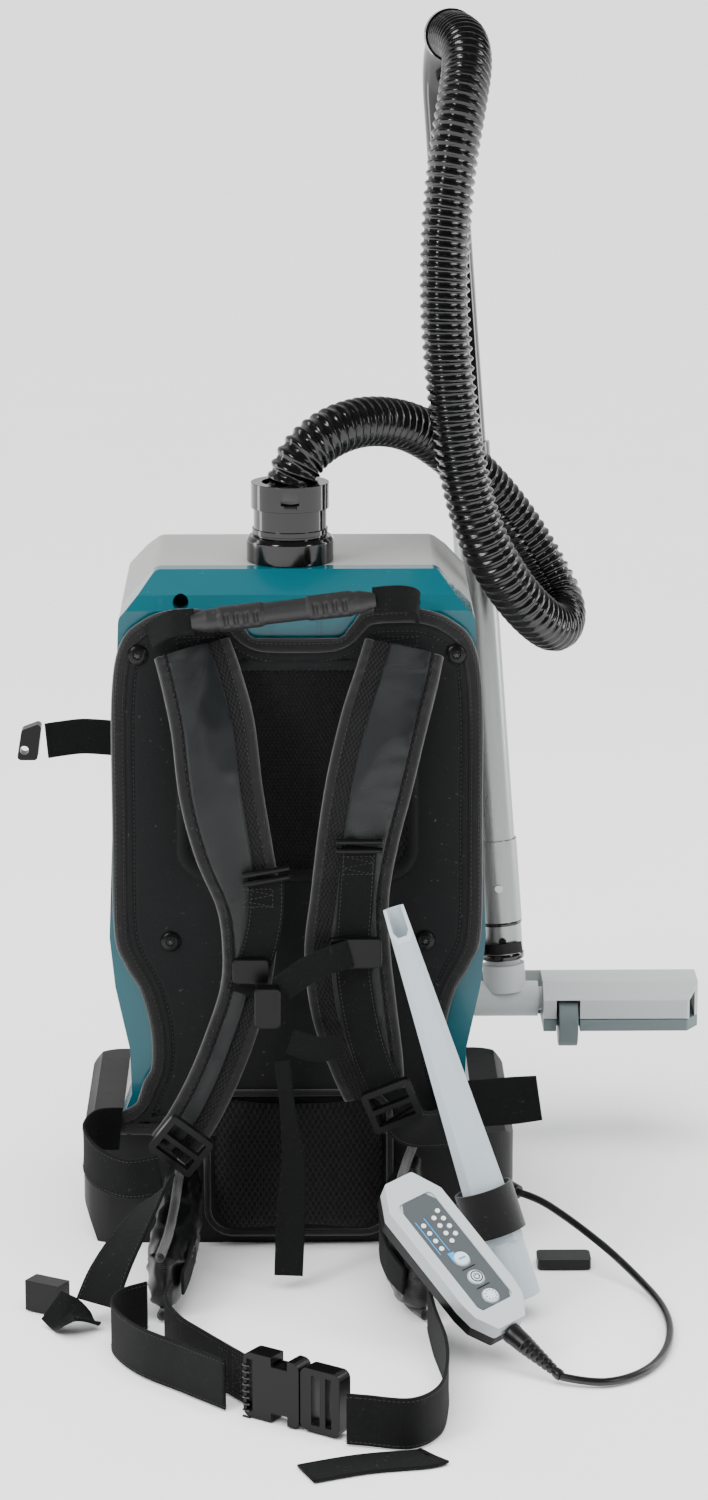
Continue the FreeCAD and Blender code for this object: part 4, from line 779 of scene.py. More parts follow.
def satin_folds(seed, amount=1.0, gather=1.0):
    """Creases across a panel, and small gathers along its seams."""
    def ripple(length, across, width, share):
        lifts = []
        for x in across:
            side = x / (width / 2)
            crease = noise.noise(Vector((x * 22 + seed, length * 26, seed * 1.7)))
            fine = noise.noise(Vector((x * 60, length * 75 + x * 40, seed * 3.1)))
            ridge = (1 - abs(crease)) ** 7
            edge = abs(side) ** 3 * max(0, 1 - (abs(side) / 0.88) ** 14)
            wander = noise.noise(Vector((length * 30, seed, 0.4)))
            pucker = math.sin(length * 2 * math.pi / 0.0135 + wander * 5 + side * 2.5)
            inside = max(0, 1 - (abs(side) / 0.86) ** 8)
            lift = inside * (ridge * 1.5 + crease * 1.6 + fine * 0.45) * amount + edge * pucker * 1.1 * gather
            lifts.append(lift * MM)
        return np.array(lifts)
    return ripple


def tape(name, stations, thick=2.0, steps=10):
    """A length of webbing."""
    return sweep(name, stations, flat_section(thick * MM), [WEBBING], steps)


def offset_path(stations, across, lift, steps=8):
    """A line on a strap, this share of its width across and this far off its face."""
    rows = smooth(stations, steps)
    along, side, out = axes_along(rows[:, :3], rows[:, 3:6])
    return rows[:, :3] + side * (rows[:, 6:7] * across / 2) + out * lift, out


# ---- stitches -----------------------------------------------------------------
class Nodes:
    """A geometry node tree with named inputs."""

    def __init__(self, name):
        self.tree = bpy.data.node_groups.new(name, "GeometryNodeTree")
        self.sockets = {}
        self.open("Geometry", "NodeSocketGeometry")
        self.tree.interface.new_socket("Geometry", in_out="OUTPUT", socket_type="NodeSocketGeometry")
        self.start = self.tree.nodes.new("NodeGroupInput")
        self.end = self.tree.nodes.new("NodeGroupOutput")

    def open(self, name, kind):
        socket = self.tree.interface.new_socket(name, in_out="INPUT", socket_type=kind)
        self.sockets[name] = socket.identifier

    def add(self, kind, links=None, **settings):
        node = self.tree.nodes.new(kind)
        for key, value in settings.items():
            setattr(node, key, value)
        for key, value in (links or {}).items():
            if isinstance(value, bpy.types.NodeSocket):
                self.tree.links.new(value, node.inputs[key])
            else:
                node.inputs[key].default_value = value
        return node

    def applied(self, piece, **values):
        """The piece's mesh, as the tree makes it, in a new object."""
        layer = piece.modifiers.new("rows", "NODES")
        layer.node_group = self.tree
        for name, value in values.items():
            layer[self.sockets[name]] = value
        bpy.context.view_layer.update()
        seen = piece.evaluated_get(bpy.context.evaluated_depsgraph_get())
        mesh = bpy.data.meshes.new_from_object(seen)
        made = bpy.data.objects.new(piece.name + "_made", mesh)
        bpy.context.scene.collection.objects.link(made)
        bpy.data.objects.remove(piece)
        return made


def stitch_tree():
    """Small threads at even steps along a mesh's edges, each lying along them."""
    tree = Nodes("row_of_stitches")
    tree.open("Pitch", "NodeSocketFloat")
    tree.open("Thread", "NodeSocketVector")
    tree.open("Finish", "NodeSocketMaterial")
    start = tree.start.outputs
    curve = tree.add("GeometryNodeMeshToCurve", {"Mesh": start["Geometry"]})
    even = tree.add("GeometryNodeResampleCurve", {"Curve": curve.outputs[0], "Length": start["Pitch"]},
                    mode="LENGTH")
    thread = tree.add("GeometryNodeMeshUVSphere", {"Segments": 6, "Rings": 4, "Radius": 1.0})
    sized = tree.add("GeometryNodeTransform", {"Geometry": thread.outputs[0], "Scale": start["Thread"]})
    tangent = tree.add("GeometryNodeInputTangent")
    turn = tree.add("FunctionNodeAlignRotationToVector", {"Vector": tangent.outputs[0]}, axis="Z")
    placed = tree.add("GeometryNodeInstanceOnPoints", {"Points": even.outputs[0], "Instance": sized.outputs[0],
                                                      "Rotation": turn.outputs[0]})
    real = tree.add("GeometryNodeRealizeInstances", {"Geometry": placed.outputs[0]})
    finish = tree.add("GeometryNodeSetMaterial", {"Geometry": real.outputs[0], "Material": start["Finish"]})
    tree.tree.links.new(finish.outputs[0], tree.end.inputs[0])
    return tree


STITCHES = stitch_tree()


def stitched(name, lines, finish, pitch=0.0034, long=0.0013, thick=0.00035):
    """Rows of stitches along polylines."""
    points, edges = [], []
    for line in lines:
        first = len(points)
        points += [tuple(p) for p in line]
        edges += [(first + k, first + k + 1) for k in range(len(line) - 1)]
    mesh = bpy.data.meshes.new(name)
    mesh.from_pydata(points, edges, [])
    path = bpy.data.objects.new(name, mesh)
    bpy.context.scene.collection.objects.link(path)
    made = STITCHES.applied(path, Pitch=pitch, Thread=(thick, thick, long), Finish=finish)
    made.name = name
    return made


def box_stitch(centre, side, up, half, high, zigzag=3):
    """The lines of a box stitch with a zigzag in it."""
    centre, side, up = np.array(centre), unit(np.array(side, float)), unit(np.array(up, float))
    corners = [(-half, -high), (half, -high), (half, high), (-half, high), (-half, -high)]
    turns = [((-half if k % 2 else half), -high + 2 * high * k / zigzag) for k in range(zigzag + 1)]
    return [[centre + side * a + up * b for a, b in run] for run in (corners, turns)]


THREAD = rubber_finish("thread", (0.012, 0.012, 0.0125), 0.5)


def make_straps():
    left = sweep("left_strap", harness(LEFT_STRAP), padded_section(0.0095, 0.0015, 0.0085),
                 [BINDING, MESH, SATIN], 14, ripple=satin_folds(3.2))
    right = sweep("right_strap", harness(RIGHT_STRAP), padded_section(0.0095, 0.0115, 0.0015),
                  [BINDING, MESH, SATIN], 16, ripple=satin_folds(7.9, 1.2, 1.3))
    shown(left, "root", "strap_fabric", "shoulder_strap_left")
    shown(right, "root", "strap_fabric", "shoulder_strap_right")
    lines = []
    for stations in (harness(LEFT_STRAP), harness(RIGHT_STRAP)):
        widths = smooth(stations, 8)[:, 6].mean()
        inner = 1 - 2 * (TAPE - 0.0012) / widths
        for across in (-inner, inner):
            lines.append(offset_path(stations, across, 0.0033)[0])
    shown(stitched("strap_seams", lines, THREAD, 0.0036), "root", "strap_fabric")


def rail(name, centre, way, out, long, high, deep, finish):
    """A rounded bar: centred, along way, this high across it and this deep."""
    centre, way, out = np.array(centre), unit(np.array(way, float)), unit(np.array(out, float))
    up = np.cross(way, out)
    rows = []
    for share in (-1, -0.985, -0.95, 0.95, 0.985, 1):
        scale = {1: 0.72, 0.985: 0.92, 0.95: 1}[abs(share)]
        rows.append((*(centre + way * (share * long / 2)), *up, scale))

    def section(scale):
        loop = []
        for a in range(0, 360, 30):
            c, s = math.cos(math.radians(a)), math.sin(math.radians(a))
            round_up = lambda v: math.copysign(abs(v) ** 0.6, v)
            loop.append((round_up(c) * high / 2 * scale, round_up(s) * deep / 2 * scale))
        return loop, [0] * len(loop)
    return sweep(name, rows, section, [finish], 0)


def make_webbing():
    pieces = [tape(name, harness(path)) for name, path in (
        ("left_loop", LEFT_LOOP), ("left_tail", LEFT_TAIL), ("left_fold", LEFT_FOLD), ("left_web", LEFT_WEB),
        ("right_web", RIGHT_WEB), ("right_tail", RIGHT_WEB_TAIL))]
    shown(joined("strap_webbings", pieces), "root", "webbing", "strap_webbing")
    sternum = [tape(name, harness(path), 1.6) for name, path in (
        ("sternum_upper", STERNUM_UPPER), ("sternum_lower", STERNUM_LOWER), ("sternum_tail", STERNUM_TAIL))]
    shown(joined("sternum_webbings", sternum), "root", "webbing", "sternum_strap")
    keepers = []
    for x, out, z, slope in ((47, 67.5, 349, 0.0), (-24, 68.5, 326, 0.18)):
        for step in (0, -7):
            centre = (x * MM, PAD_FACE - out * MM, (z + step) * MM)
            keepers.append(rail("keeper", centre, (1, 0, slope), (0, -1, 0), 0.036, 0.0042, 0.004,
                                BUCKLE_BLACK))
    shown(joined("strap_keepers", keepers), "root", "buckle_plastic")
    lines = []
    for path in (LEFT_LOOP, LEFT_TAIL, LEFT_WEB, RIGHT_WEB, RIGHT_WEB_TAIL):
        for across in (-0.86, 0.86):
            lines.append(offset_path(harness(path), across, 0.0012)[0])
    for x, out, z in ((-30, 67.5, 305), (46, 66, 330)):
        centre = (x * MM, PAD_FACE - out * MM, z * MM)
        lines += box_stitch(centre, (1, 0, 0), (0, 0, 1), 0.011, 0.007)
    shown(stitched("webbing_seams", lines, THREAD, 0.0034, 0.0012, 0.0003), "root", "webbing")


def make_side_straps():
    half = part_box("outer_shell")[1].x
    z = 0.4
    web = tape("side_web", [(-half + 0.003, -0.060, z, 0, 0, 1, 0.028),
                            (-half - 0.020, -0.062, z + 0.002, 0, 0, 1, 0.028),
                            (-half - 0.038, -0.066, z + 0.001, 0, 0, 1, 0.028),
                            (-half - 0.049, -0.069, z, 0, 0, 1, 0.028)])
    low = 0.12
    hook = sweep("hook_tape", [(0.112, PAD_FACE - 0.008, low - 0.002, 0, 0, 1, 0.038),
                               (0.140, PAD_FACE - 0.016, low + 0.003, 0.1, 0, 1, 0.038),
                               (0.168, PAD_FACE - 0.021, low + 0.007, 0.15, 0, 1, 0.038),
                               (0.188, PAD_FACE - 0.024, low + 0.010, 0.15, 0, 1, 0.036)],
                 flat_section(0.003), [WEBBING], 10)
    shown(joined("side_webbings", [web, hook]), "root", "webbing", "side_straps")


# ---- harness: back pad ---------------------------------------------------------
PAD_HALF = [
    (138, 94.5), (126, 118), (120, 135), (113.5, 150), (113.8, 179), (121.5, 211), (133, 232), (141.4, 260),
    (141.6, 350), (141, 444), (134, 487), (117, 505), (95, 513), (70, 513), (52, 511), (43, 501), (34, 491.5),
    (17, 490),
]


def pad_outline():
    """The closed outline, as even points with rounded corners."""
    half = [(x * MM, z * MM) for x, z in PAD_HALF]
    corners = half + [(-x, z) for x, z in reversed(half)]
    return smooth(corners + corners[:1], 6)[:-1]


def even_loop(loop, step):
    closed = np.vstack([loop, loop[:1]])
    runs = np.concatenate([[0], np.cumsum(np.linalg.norm(np.diff(closed, axis=0), axis=1))])
    count = int(runs[-1] / step)
    at = np.arange(count) * runs[-1] / count
    return np.stack([np.interp(at, runs, closed[:, 0]), np.interp(at, runs, closed[:, 1])], axis=1)


def inset(loop, distance):
    """The loop moved inwards, with its tight corners eased."""
    way = np.roll(loop, -1, axis=0) - np.roll(loop, 1, axis=0)
    normal = unit(np.stack([-way[:, 1], way[:, 0]], axis=1))
    area = np.sum(loop[:, 0] * np.roll(loop[:, 1], -1) - np.roll(loop[:, 0], -1) * loop[:, 1])
    moved = loop + normal * distance * (1 if area > 0 else -1)
    for _ in range(int(distance / 0.0008)):
        moved = moved * 0.6 + 0.2 * (np.roll(moved, 1, axis=0) + np.roll(moved, -1, axis=0))
    return moved


def rounded_rectangle(x0, x1, z0, z1, radius, step):
    loop = []
    for cx, cz, start in ((x1 - radius, z1 - radius, 0), (x0 + radius, z1 - radius, 90),
                          (x0 + radius, z0 + radius, 180), (x1 - radius, z0 + radius, 270)):
        for a in range(0, 91, 9):
            angle = math.radians(start + a)
            loop.append((cx + radius * math.cos(angle), cz + radius * math.sin(angle)))
    return even_loop(np.array(loop), step)


def rings_between(points, faces, kinds, loops, kind_of):
    """Adds rings of quads through loops of equal length, given as 3-D points."""
    first = len(points)
    count = len(loops[0])
    for loop in loops:
        points += [tuple(p) for p in loop]
    for k in range(len(loops) - 1):
        for i in range(count):
            n = (i + 1) % count
            a = first + k * count
            faces.append((a + i, a + n, a + count + n, a + count + i))
            kinds.append(kind_of[k])
    return first, count


def standing(loop, y):
    """A loop of x, z stood up at a depth y."""
    return [(x, y, z) for x, z in loop]


def make_pad():
    face = PAD_FACE + 0.0002
    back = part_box("back_pad")[1].y
    edge = even_loop(pad_outline(), 0.003)
    profile = [(0.0005, back, 0), (-0.0012, back - 0.001, 0), (-0.0018, face + 0.0015, 0),
               (-0.0008, face - 0.0012, 0),
               (0.0018, face - 0.0024, 0), (0.0062, face - 0.0026, 0), (0.0086, face - 0.0016, 0),
               (0.0094, face - 0.0002, 2), (0.0104, face - 0.0014, 2), (0.0128, face - 0.0018, 2),
               (0.0150, face - 0.0013, 2), (0.0158, face - 0.0003, 2), (0.0168, face - 0.0012, 2),
               (0.0195, face - 0.0014, 2)]
    points, faces, kinds = [], [], []
    loops = [standing(inset(edge, d) if d > 0 else edge + (edge - inset(edge, 0.0008)) * (-d / 0.0008), y)
             for d, y, kind in profile]
    start, count = rings_between(points, faces, kinds, loops, [row[2] for row in profile])
    outer_last = start + (len(loops) - 1) * count
    well = rounded_rectangle(-0.088, 0.088, 0.305, 0.470, 0.022, 0.003)
    floor = back - 0.0016
    rows = [(-0.007, face - 0.0014, 2), (-0.0055, face - 0.0004, 2), (-0.0045, face - 0.0020, 2),
            (-0.0015, face - 0.0026, 2), (0.001, face - 0.0012, 2), (0.0025, face + 0.0015, 1),
            (0.0032, floor - 0.0006, 1), (0.005, floor, 1)]
    loops = [standing(inset(well, d) if d > 0 else well + (well - inset(well, 0.0008)) * (-d / 0.0008), y)
             for d, y, kind in rows]
    first, around = rings_between(points, faces, kinds, loops, [row[2] for row in rows])
    floor_first = first + (len(loops) - 1) * around
    shape = bmesh.new()
    verts = [shape.verts.new(p) for p in points]
    for corners, kind in zip(faces, kinds):
        face_made = shape.faces.new([verts[i] for i in corners])
        face_made.material_index = kind
    shape.edges.ensure_lookup_table()

    def ring(start_at, size):
        return [shape.edges.get((verts[start_at + i], verts[start_at + (i + 1) % size])) for i in range(size)]

    ring_a = ring(outer_last, count)
    ring_b = ring(first, around)
    made = bmesh.ops.triangle_fill(shape, edges=ring_a + ring_b, use_beauty=True, normal=(0, -1, 0))
    for item in made["geom"]:
        if isinstance(item, bmesh.types.BMFace):
            item.material_index = 2
    ring_c = ring(floor_first, around)
    made = bmesh.ops.triangle_fill(shape, edges=ring_c, use_beauty=True, normal=(0, -1, 0))
    for item in made["geom"]:
        if isinstance(item, bmesh.types.BMFace):
            item.material_index = 1
    rim = ring(start, count)
    bmesh.ops.triangle_fill(shape, edges=rim, use_beauty=True, normal=(0, 1, 0))
    bmesh.ops.recalc_face_normals(shape, faces=shape.faces)
    layer = shape.loops.layers.uv.new("cloth")
    for item in shape.faces:
        item.smooth = True
        for corner in item.loops:
            corner[layer].uv = (corner.vert.co.x, corner.vert.co.z)
    mesh = bpy.data.meshes.new("back_cushion")
    shape.to_mesh(mesh)
    shape.free()
    for finish in (BINDING, LUMBAR_MESH, FOAM):
        mesh.materials.append(finish)
    pad = bpy.data.objects.new("back_cushion", mesh)
    bpy.context.scene.collection.objects.link(pad)
    shown(pad, "root", "pad_foam", "back_pad")
    lines = [standing(np.vstack([loop, loop[:1]]), depth) for loop, depth in (
        (inset(edge, 0.0072), face - 0.0027), (inset(edge, 0.0014), face - 0.0024),
        (inset(edge, 0.0154), face - 0.0013))]
    for x in (-0.078, 0.078):
        lines += box_stitch((x, face - 0.0026, 0.486), (1, 0, 0), (0, 0, 1), 0.014, 0.008, 4)
    shown(stitched("pad_seams", lines, THREAD, 0.0036), "root", "pad_foam")
    # A near-black panel laid over the well's floor: painted shade at the bottom of the recess.
    painted_well_shade = rounded_rectangle(-0.056, 0.056, 0.3085, 0.4665, 0.006, 0.004)
    centre = plain_plate("well_shade_panel", painted_well_shade, floor - 0.0004, 0.0003, WELL_SHADE)
    shown(centre, "root", "pad_foam")


def plain_plate(name, loop, y, thick, finish):
    """A thin cloth panel on a loop of x, z, facing the wearer."""
    count = len(loop)
    points = standing(loop, y) + standing(loop, y + thick)
    faces = [tuple(range(count)), tuple(range(2 * count - 1, count - 1, -1))]
    faces += [(i, (i + 1) % count, count + (i + 1) % count, count + i) for i in range(count)]
    cloth = [(points[i][0], points[i][2]) for corners in faces for i in corners]
    piece = make_mesh(name, points, faces, [finish], None, cloth)
    face_outwards(piece)
    piece.data.set_sharp_from_angle(angle=math.radians(40))
    return piece


# ---- harness: cushions -----------------------------------------------------------
def apply_modifiers(piece):
    bpy.context.view_layer.update()
    seen = piece.evaluated_get(bpy.context.evaluated_depsgraph_get())
    mesh = bpy.data.meshes.new_from_object(seen)
    piece.modifiers.clear()
    piece.data = mesh


def puffed(name, points, faces, finish, cap, pressure=4.0, voxel=0.005):
    """A cushion: a closed form blown up as cloth, no further than cap, then smoothed."""
    piece = make_mesh(name, points, faces, [finish])
    face_outwards(piece)
    remesh = piece.modifiers.new("even", "REMESH")
    remesh.mode = "VOXEL"
    remesh.voxel_size = voxel
    apply_modifiers(piece)
    rest = np.array([v.co[:] for v in piece.data.vertices])
    cloth = piece.modifiers.new("air", "CLOTH")
    cloth.settings.use_pressure = True
    cloth.settings.uniform_pressure_force = pressure
    cloth.settings.effector_weights.gravity = 0
    cloth.settings.quality = 5
    for step in range(1, 21):
        bpy.context.scene.frame_set(step)
    apply_modifiers(piece)
    bpy.context.scene.frame_set(1)
    moved = np.array([v.co[:] for v in piece.data.vertices])
    shift = moved - rest
    far = np.linalg.norm(shift, axis=1, keepdims=True)
    moved = rest + shift * np.minimum(1, cap / np.maximum(far, 1e-9))
    piece.data.vertices.foreach_set("co", moved.ravel())
    soften = piece.modifiers.new("soften", "SMOOTH")
    soften.factor = 0.5
    soften.iterations = 3
    finer = piece.modifiers.new("finer", "SUBSURF")
    finer.levels = 1
    finer.render_levels = 1
    apply_modifiers(piece)
    piece.data.polygons.foreach_set("use_smooth", [True] * len(piece.data.polygons))
    return piece


def lay_cloth_map(piece, across, along):
    """A map in metres from two directions, for the weave."""
    mesh = piece.data
    while mesh.uv_layers:
        mesh.uv_layers.remove(mesh.uv_layers[0])
    layer = mesh.uv_layers.new(name="cloth")
    places = np.array([v.co[:] for v in mesh.vertices])
    flat = np.stack([places @ np.array(across), places @ np.array(along)], axis=1)
    corners = np.array([loop.vertex_index for loop in mesh.loops])
    layer.data.foreach_set("uv", flat[corners].ravel())


LEFT_HIP = [
    (-90, 10, 50, 0, 0, 1, 72), (-92, 44, 46, 0, 0, 1, 74), (-95, 90, 38, 0, 0, 1, 66),
    (-99, 136, 33, 0, 0, 1, 58), (-104, 168, 30, 0, 0, 1, 54),
]
RIGHT_HIP = [
    (90, 10, 52, 0, 0, 1, 74), (84, 46, 48, 0, 0, 1, 80), (78, 92, 43, 0, 0, 1, 78),
    (83, 138, 38, 0, 0, 1, 70), (97, 172, 32, 0, 0, 1, 58),
]


def make_hips():
    for side, stations in (("left", LEFT_HIP), ("right", RIGHT_HIP)):
        rows = smooth(harness(stations), 6)
        rows[:, 6] = rows[:, 6] - 0.010
        along, across, out = axes_along(rows[:, :3], rows[:, 3:6])
        points, faces = [], []
        for k, row in enumerate(rows):
            taper = min(1, 0.35 + 0.25 * min(k, len(rows) - 1 - k))
            for u, v in ((-1, -0.5), (-0.8, -1), (0, -1), (0.8, -1), (1, -0.5), (1, 0.5), (0.8, 1), (0, 1),
                         (-0.8, 1), (-1, 0.5)):
                points.append(row[:3] + across[k] * (u * row[6] / 2) + out[k] * (v * 0.0115 * taper))
        ring = 10
        for k in range(len(rows) - 1):
            for i in range(ring):
                n = (i + 1) % ring
                faces.append((k * ring + i, k * ring + n, (k + 1) * ring + n, (k + 1) * ring + i))
        faces.append(tuple(range(ring))[::-1])
        faces.append(tuple((len(rows) - 1) * ring + i for i in range(ring)))
        hip = puffed("hip_wing_" + side, points, faces, HIP_CLOTH, 0.0045, 3.0)
        crumple(hip, 0.0034, 1.0 if side == "left" else 6.0)
        lay_cloth_map(hip, (0, 1, 0), (0, 0, 1))
        shown(hip, "root", "hip_fabric", "hip_pad_" + side)
        edges = []
        for rim in (-1, 1):
            edge = [(*(row[:3] + across[k] * (rim * (row[6] / 2 + 0.002))), *across[k], 0.0085)
                    for k, row in enumerate(rows)]
            edges.append(sweep("hip_tape", edge, padded_bead(0.0075), [BINDING], 3))
        shown(joined("hip_binding_" + side, edges), "root", "hip_fabric")
        pocket(side, rows, across, out)


def padded_bead(thick):
    """A rounded roll of tape."""
    def section(width):
        return [(width / 2 * math.cos(math.radians(a)), thick / 2 * math.sin(math.radians(a)))
                for a in range(0, 360, 30)], [0] * 12
    return section


def crumple(piece, depth, seed):
    """Soft creases pressed into a cushion along its own normals."""
    mesh = piece.data
    for vertex in mesh.vertices:
        at = vertex.co
        crease = noise.noise(Vector((at.x * 38 + seed, at.y * 30, at.z * 46)))
        fine = noise.noise(Vector((at.x * 110, at.y * 90 + seed, at.z * 120)))
        lift = ((1 - abs(crease)) ** 5 - 0.35) * depth + fine * depth * 0.25
        vertex.co = at + vertex.normal * lift


def pocket(side, rows, across, out):
    """A zipped pocket on the hip wing's outer face."""
    sign = -1 if side == "left" else 1
    at = np.linspace(2, len(rows) - 3, 14)
    path = []
    for value in at:
        k = int(value)
        path.append((*(rows[k][:3] + out[k] * sign * 0.0152), *across[k], rows[k][6] * 0.42))
    zip_line = sweep("pocket_zip_" + side, path, flat_section(0.0022), [WEBBING], 3)
    shown(zip_line, "root", "hip_fabric")


def make_lumbar():
    low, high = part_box("lumbar_pad")
    half = high.x - 0.004
    z0, z1 = low.z + 0.004, high.z - 0.004
    y0, y1 = low.y + 0.003, PAD_FACE - 0.0006
    loop = rounded_rectangle(-half, half, z0, z1, 0.020, 0.006)
    count = len(loop)
    middle = loop.mean(axis=0)
    rings = [(1.0, y1), (1.0, y1 - 0.002), (0.97, y0 + 0.002), (0.9, y0 + 0.0008), (0.5, y0)]
    points, faces = [], []
    for scale, y in rings:
        points += [(x, y, z) for x, z in middle + (loop - middle) * scale]
    for k in range(len(rings) - 1):
        for i in range(count):
            n = (i + 1) % count
            faces.append((k * count + i, k * count + n, (k + 1) * count + n, (k + 1) * count + i))
    faces.append(tuple(range(count)))
    faces.append(tuple((len(rings) - 1) * count + i for i in range(count)))
    lumbar = puffed("lumbar_cushion", points, faces, LUMBAR_MESH, 0.005, 4.0)
    keep = np.array([v.co[:] for v in lumbar.data.vertices])
    keep[:, 1] = np.minimum(keep[:, 1], y1)
    keep[:, 1] = np.maximum(keep[:, 1], low.y - 0.004)
    keep[:, 2] = np.maximum(keep[:, 2], 0.004)
    lumbar.data.vertices.foreach_set("co", keep.ravel())
    lay_cloth_map(lumbar, (1, 0, 0), (0, 0, 1))
    shown(lumbar, "root", "mesh_fabric", "lumbar_pad")
    rim = [(x, y1 - 0.0022, z) for x, z in loop]
    edge = [(*p, 0, -1, 0, 0.006) for p in rim] + [(*rim[0], 0, -1, 0, 0.006)]
    shown(sweep("lumbar_binding", edge, padded_bead(0.0055), [BINDING], 0), "root", "mesh_fabric")


# ---- harness: belt ------------------------------------------------------------------
BELT_INNER = [(-96, 176), (-99, 210), (-88, 248), (-66, 284), (-37, 328)]
BELT_OUTER = [(-114, 180), (-134, 198), (-137, 228), (-118, 268), (-84, 304), (-53, 336)]
BELT_RIGHT = [(33, 399), (46, 402), (78, 408), (98, 385), (105, 344), (106, 294), (100, 236), (97, 186)]
BELT_TAIL = [(93, 423), (84, 428), (44, 436), (4, 452)]


def belt_rows(points):
    return [(x * MM, PAD_FACE - out * MM, BELT_MIDDLE, 0, 0, 1, 0.038) for x, out in points]


def make_belt():
    pieces = [tape(name, belt_rows(path)) for name, path in (
        ("belt_inner", BELT_INNER), ("belt_outer", BELT_OUTER), ("belt_right", BELT_RIGHT))]
    tail = [(x * MM, PAD_FACE - out * MM, 0.0024, 0.1, 1, 0, 0.030) for x, out in BELT_TAIL]
    pieces.append(tape("belt_tail", tail))
    shown(joined("belt_webbings", pieces), "root", "webbing", "belt_webbing")
    lines = []
    for path in (BELT_INNER, BELT_OUTER, BELT_RIGHT):
        for across in (-0.87, 0.87):
            for face in (-0.0012, 0.0012):
                lines.append(offset_path(belt_rows(path), across, face)[0])
    rows = smooth(belt_rows(BELT_INNER), 10)
    along, side, out = axes_along(rows[:, :3], rows[:, 3:6])
    for back in (4, 7):
        for face in (-0.0013, 0.0013):
            k = len(rows) - back
            lines += box_stitch(rows[k, :3] + out[k] * face, along[k], (0, 0, 1), 0.005, 0.014, 5)
    shown(stitched("belt_seams", lines, THREAD, 0.0034, 0.0012, 0.0003), "root", "webbing")


# ---- machine: hard parts ----------------------------------------------------------------
BODY_OF = {node: body for body, nodes in frame["record"]["behaviour"]["bodies"].items() for node in nodes}
HARD = (
    ("back_shell", "teal_shell", TEAL, 1.6), ("outer_shell", "grey_shell", GREY, 2.2),
    ("dust_cover", "grey_shell", GREY, 1.2), ("cover_latch", "base_plastic", BASE_BLACK, 0.6),
    ("base_housing", "base_plastic", BASE_BLACK, 1.2), ("inlet_flange", "black_plastic", GLOSS_BLACK, 0.7),
    ("hose_cuff", "black_plastic", GLOSS_BLACK, 0.7), ("battery_left", "base_plastic", BASE_BLACK, 0.9),
    ("battery_right", "base_plastic", BASE_BLACK, 0.9), ("battery_button_left", "base_plastic", TEAL, 0.5),
    ("battery_button_right", "base_plastic", TEAL, 0.5), ("wand_tube", "tube_aluminium", ALUMINIUM, 0.5),
    ("handle_pipe", "pipe_plastic", GLOSS_BLACK, 0.6), ("wand_holder", "base_plastic", BASE_BLACK, 0.6),
    ("nozzle_neck", "nozzle_plastic", NOZZLE, 0.4), ("nozzle_elbow", "nozzle_plastic", NOZZLE, 0.8),
    ("nozzle_head_top", "nozzle_plastic", NOZZLE, 1.0),
    ("nozzle_head_base", "nozzle_base_plastic", NOZZLE_BASE, 1.0),
    ("nozzle_wheels", "wheel_plastic", WHEEL, 0.8), ("sternum_buckle", "buckle_plastic", BUCKLE_BLACK, 1.2),
    ("strap_hardware", "buckle_plastic", BUCKLE_BLACK, 1.2),
    ("crevice_tool", "accessory_plastic", CREVICE, 0.7),
    ("remote_front", "remote_housing", REMOTE, 1.3), ("remote_back", "remote_housing", BASE_BLACK, 1.0),
    ("cable_gland", "cable_rubber", CABLE_BLACK, 0.5), ("snap_button", "base_plastic", STEEL, 0.4),
    ("belt_buckle_socket", "buckle_plastic", BUCKLE_BLACK, 1.4),
    ("belt_buckle_plug", "buckle_plastic", BUCKLE_BLACK, 1.4),
)
INSIDE = (
    ("battery_terminals", BRASS), ("control_board", BOARD), ("motor_can", STEEL),
    ("motor_mounts", GRIP_BLACK),
    ("motor_bearings", STEEL), ("rotor_shaft", STEEL), ("impeller", INNER_BLACK), ("motor_deck", INNER_BLACK),
    ("filter_cassette", PAPER), ("dust_bag", PAPER), ("bag_plate", INNER_BLACK), ("back_plate", INNER_BLACK),
    ("crevice_strap", ELASTIC), ("wand_sleeve", ALUMINIUM),
)


def make_hard_parts():
    for node, slot, finish, bevel in HARD:
        finished_copy(node, BODY_OF[node], slot, finish, bevel)
    for node, finish in INSIDE:
        repaint(node, finish)


def make_wand_bands():
    """The dark seal and band on the sleeve."""
    foot, head = Vector((0.177, 0.157, 0.119)), Vector((0.119, 0.215, 0.906))
    way = (head - foot).normalized()
    pieces = []
    for low, high, radius in ((0.0358, 0.0412, 0.0183), (0.0658, 0.0692, 0.0183)):
        start, end = foot + way * low, foot + way * high
        profile = [(0, radius - 0.0035), (0, radius - 0.0004), (0.12, radius), (0.88, radius),
                   (1, radius - 0.0004), (1, radius - 0.0035)]
        pieces.append(turned_piece("seal", start, end, profile, GLOSS_BLACK, 48))
    shown(joined("wand_seals", pieces), "root", "base_plastic")
    # A dark disc in the sleeve's hole: painted shade inside the hole.
    shaded_hole = turned_piece("sleeve_hole_shade", foot + way * 0.053 + Vector((0, -0.0171, 0.0013)),
                        foot + way * 0.053 + Vector((0, -0.0185, 0.0013)),
                        [(0, 0.0032), (0.8, 0.0032), (1, 0.0028)], PRINT_AND_SHADE_BLACK, 24)
    shown(shaded_hole, "root", "base_plastic")


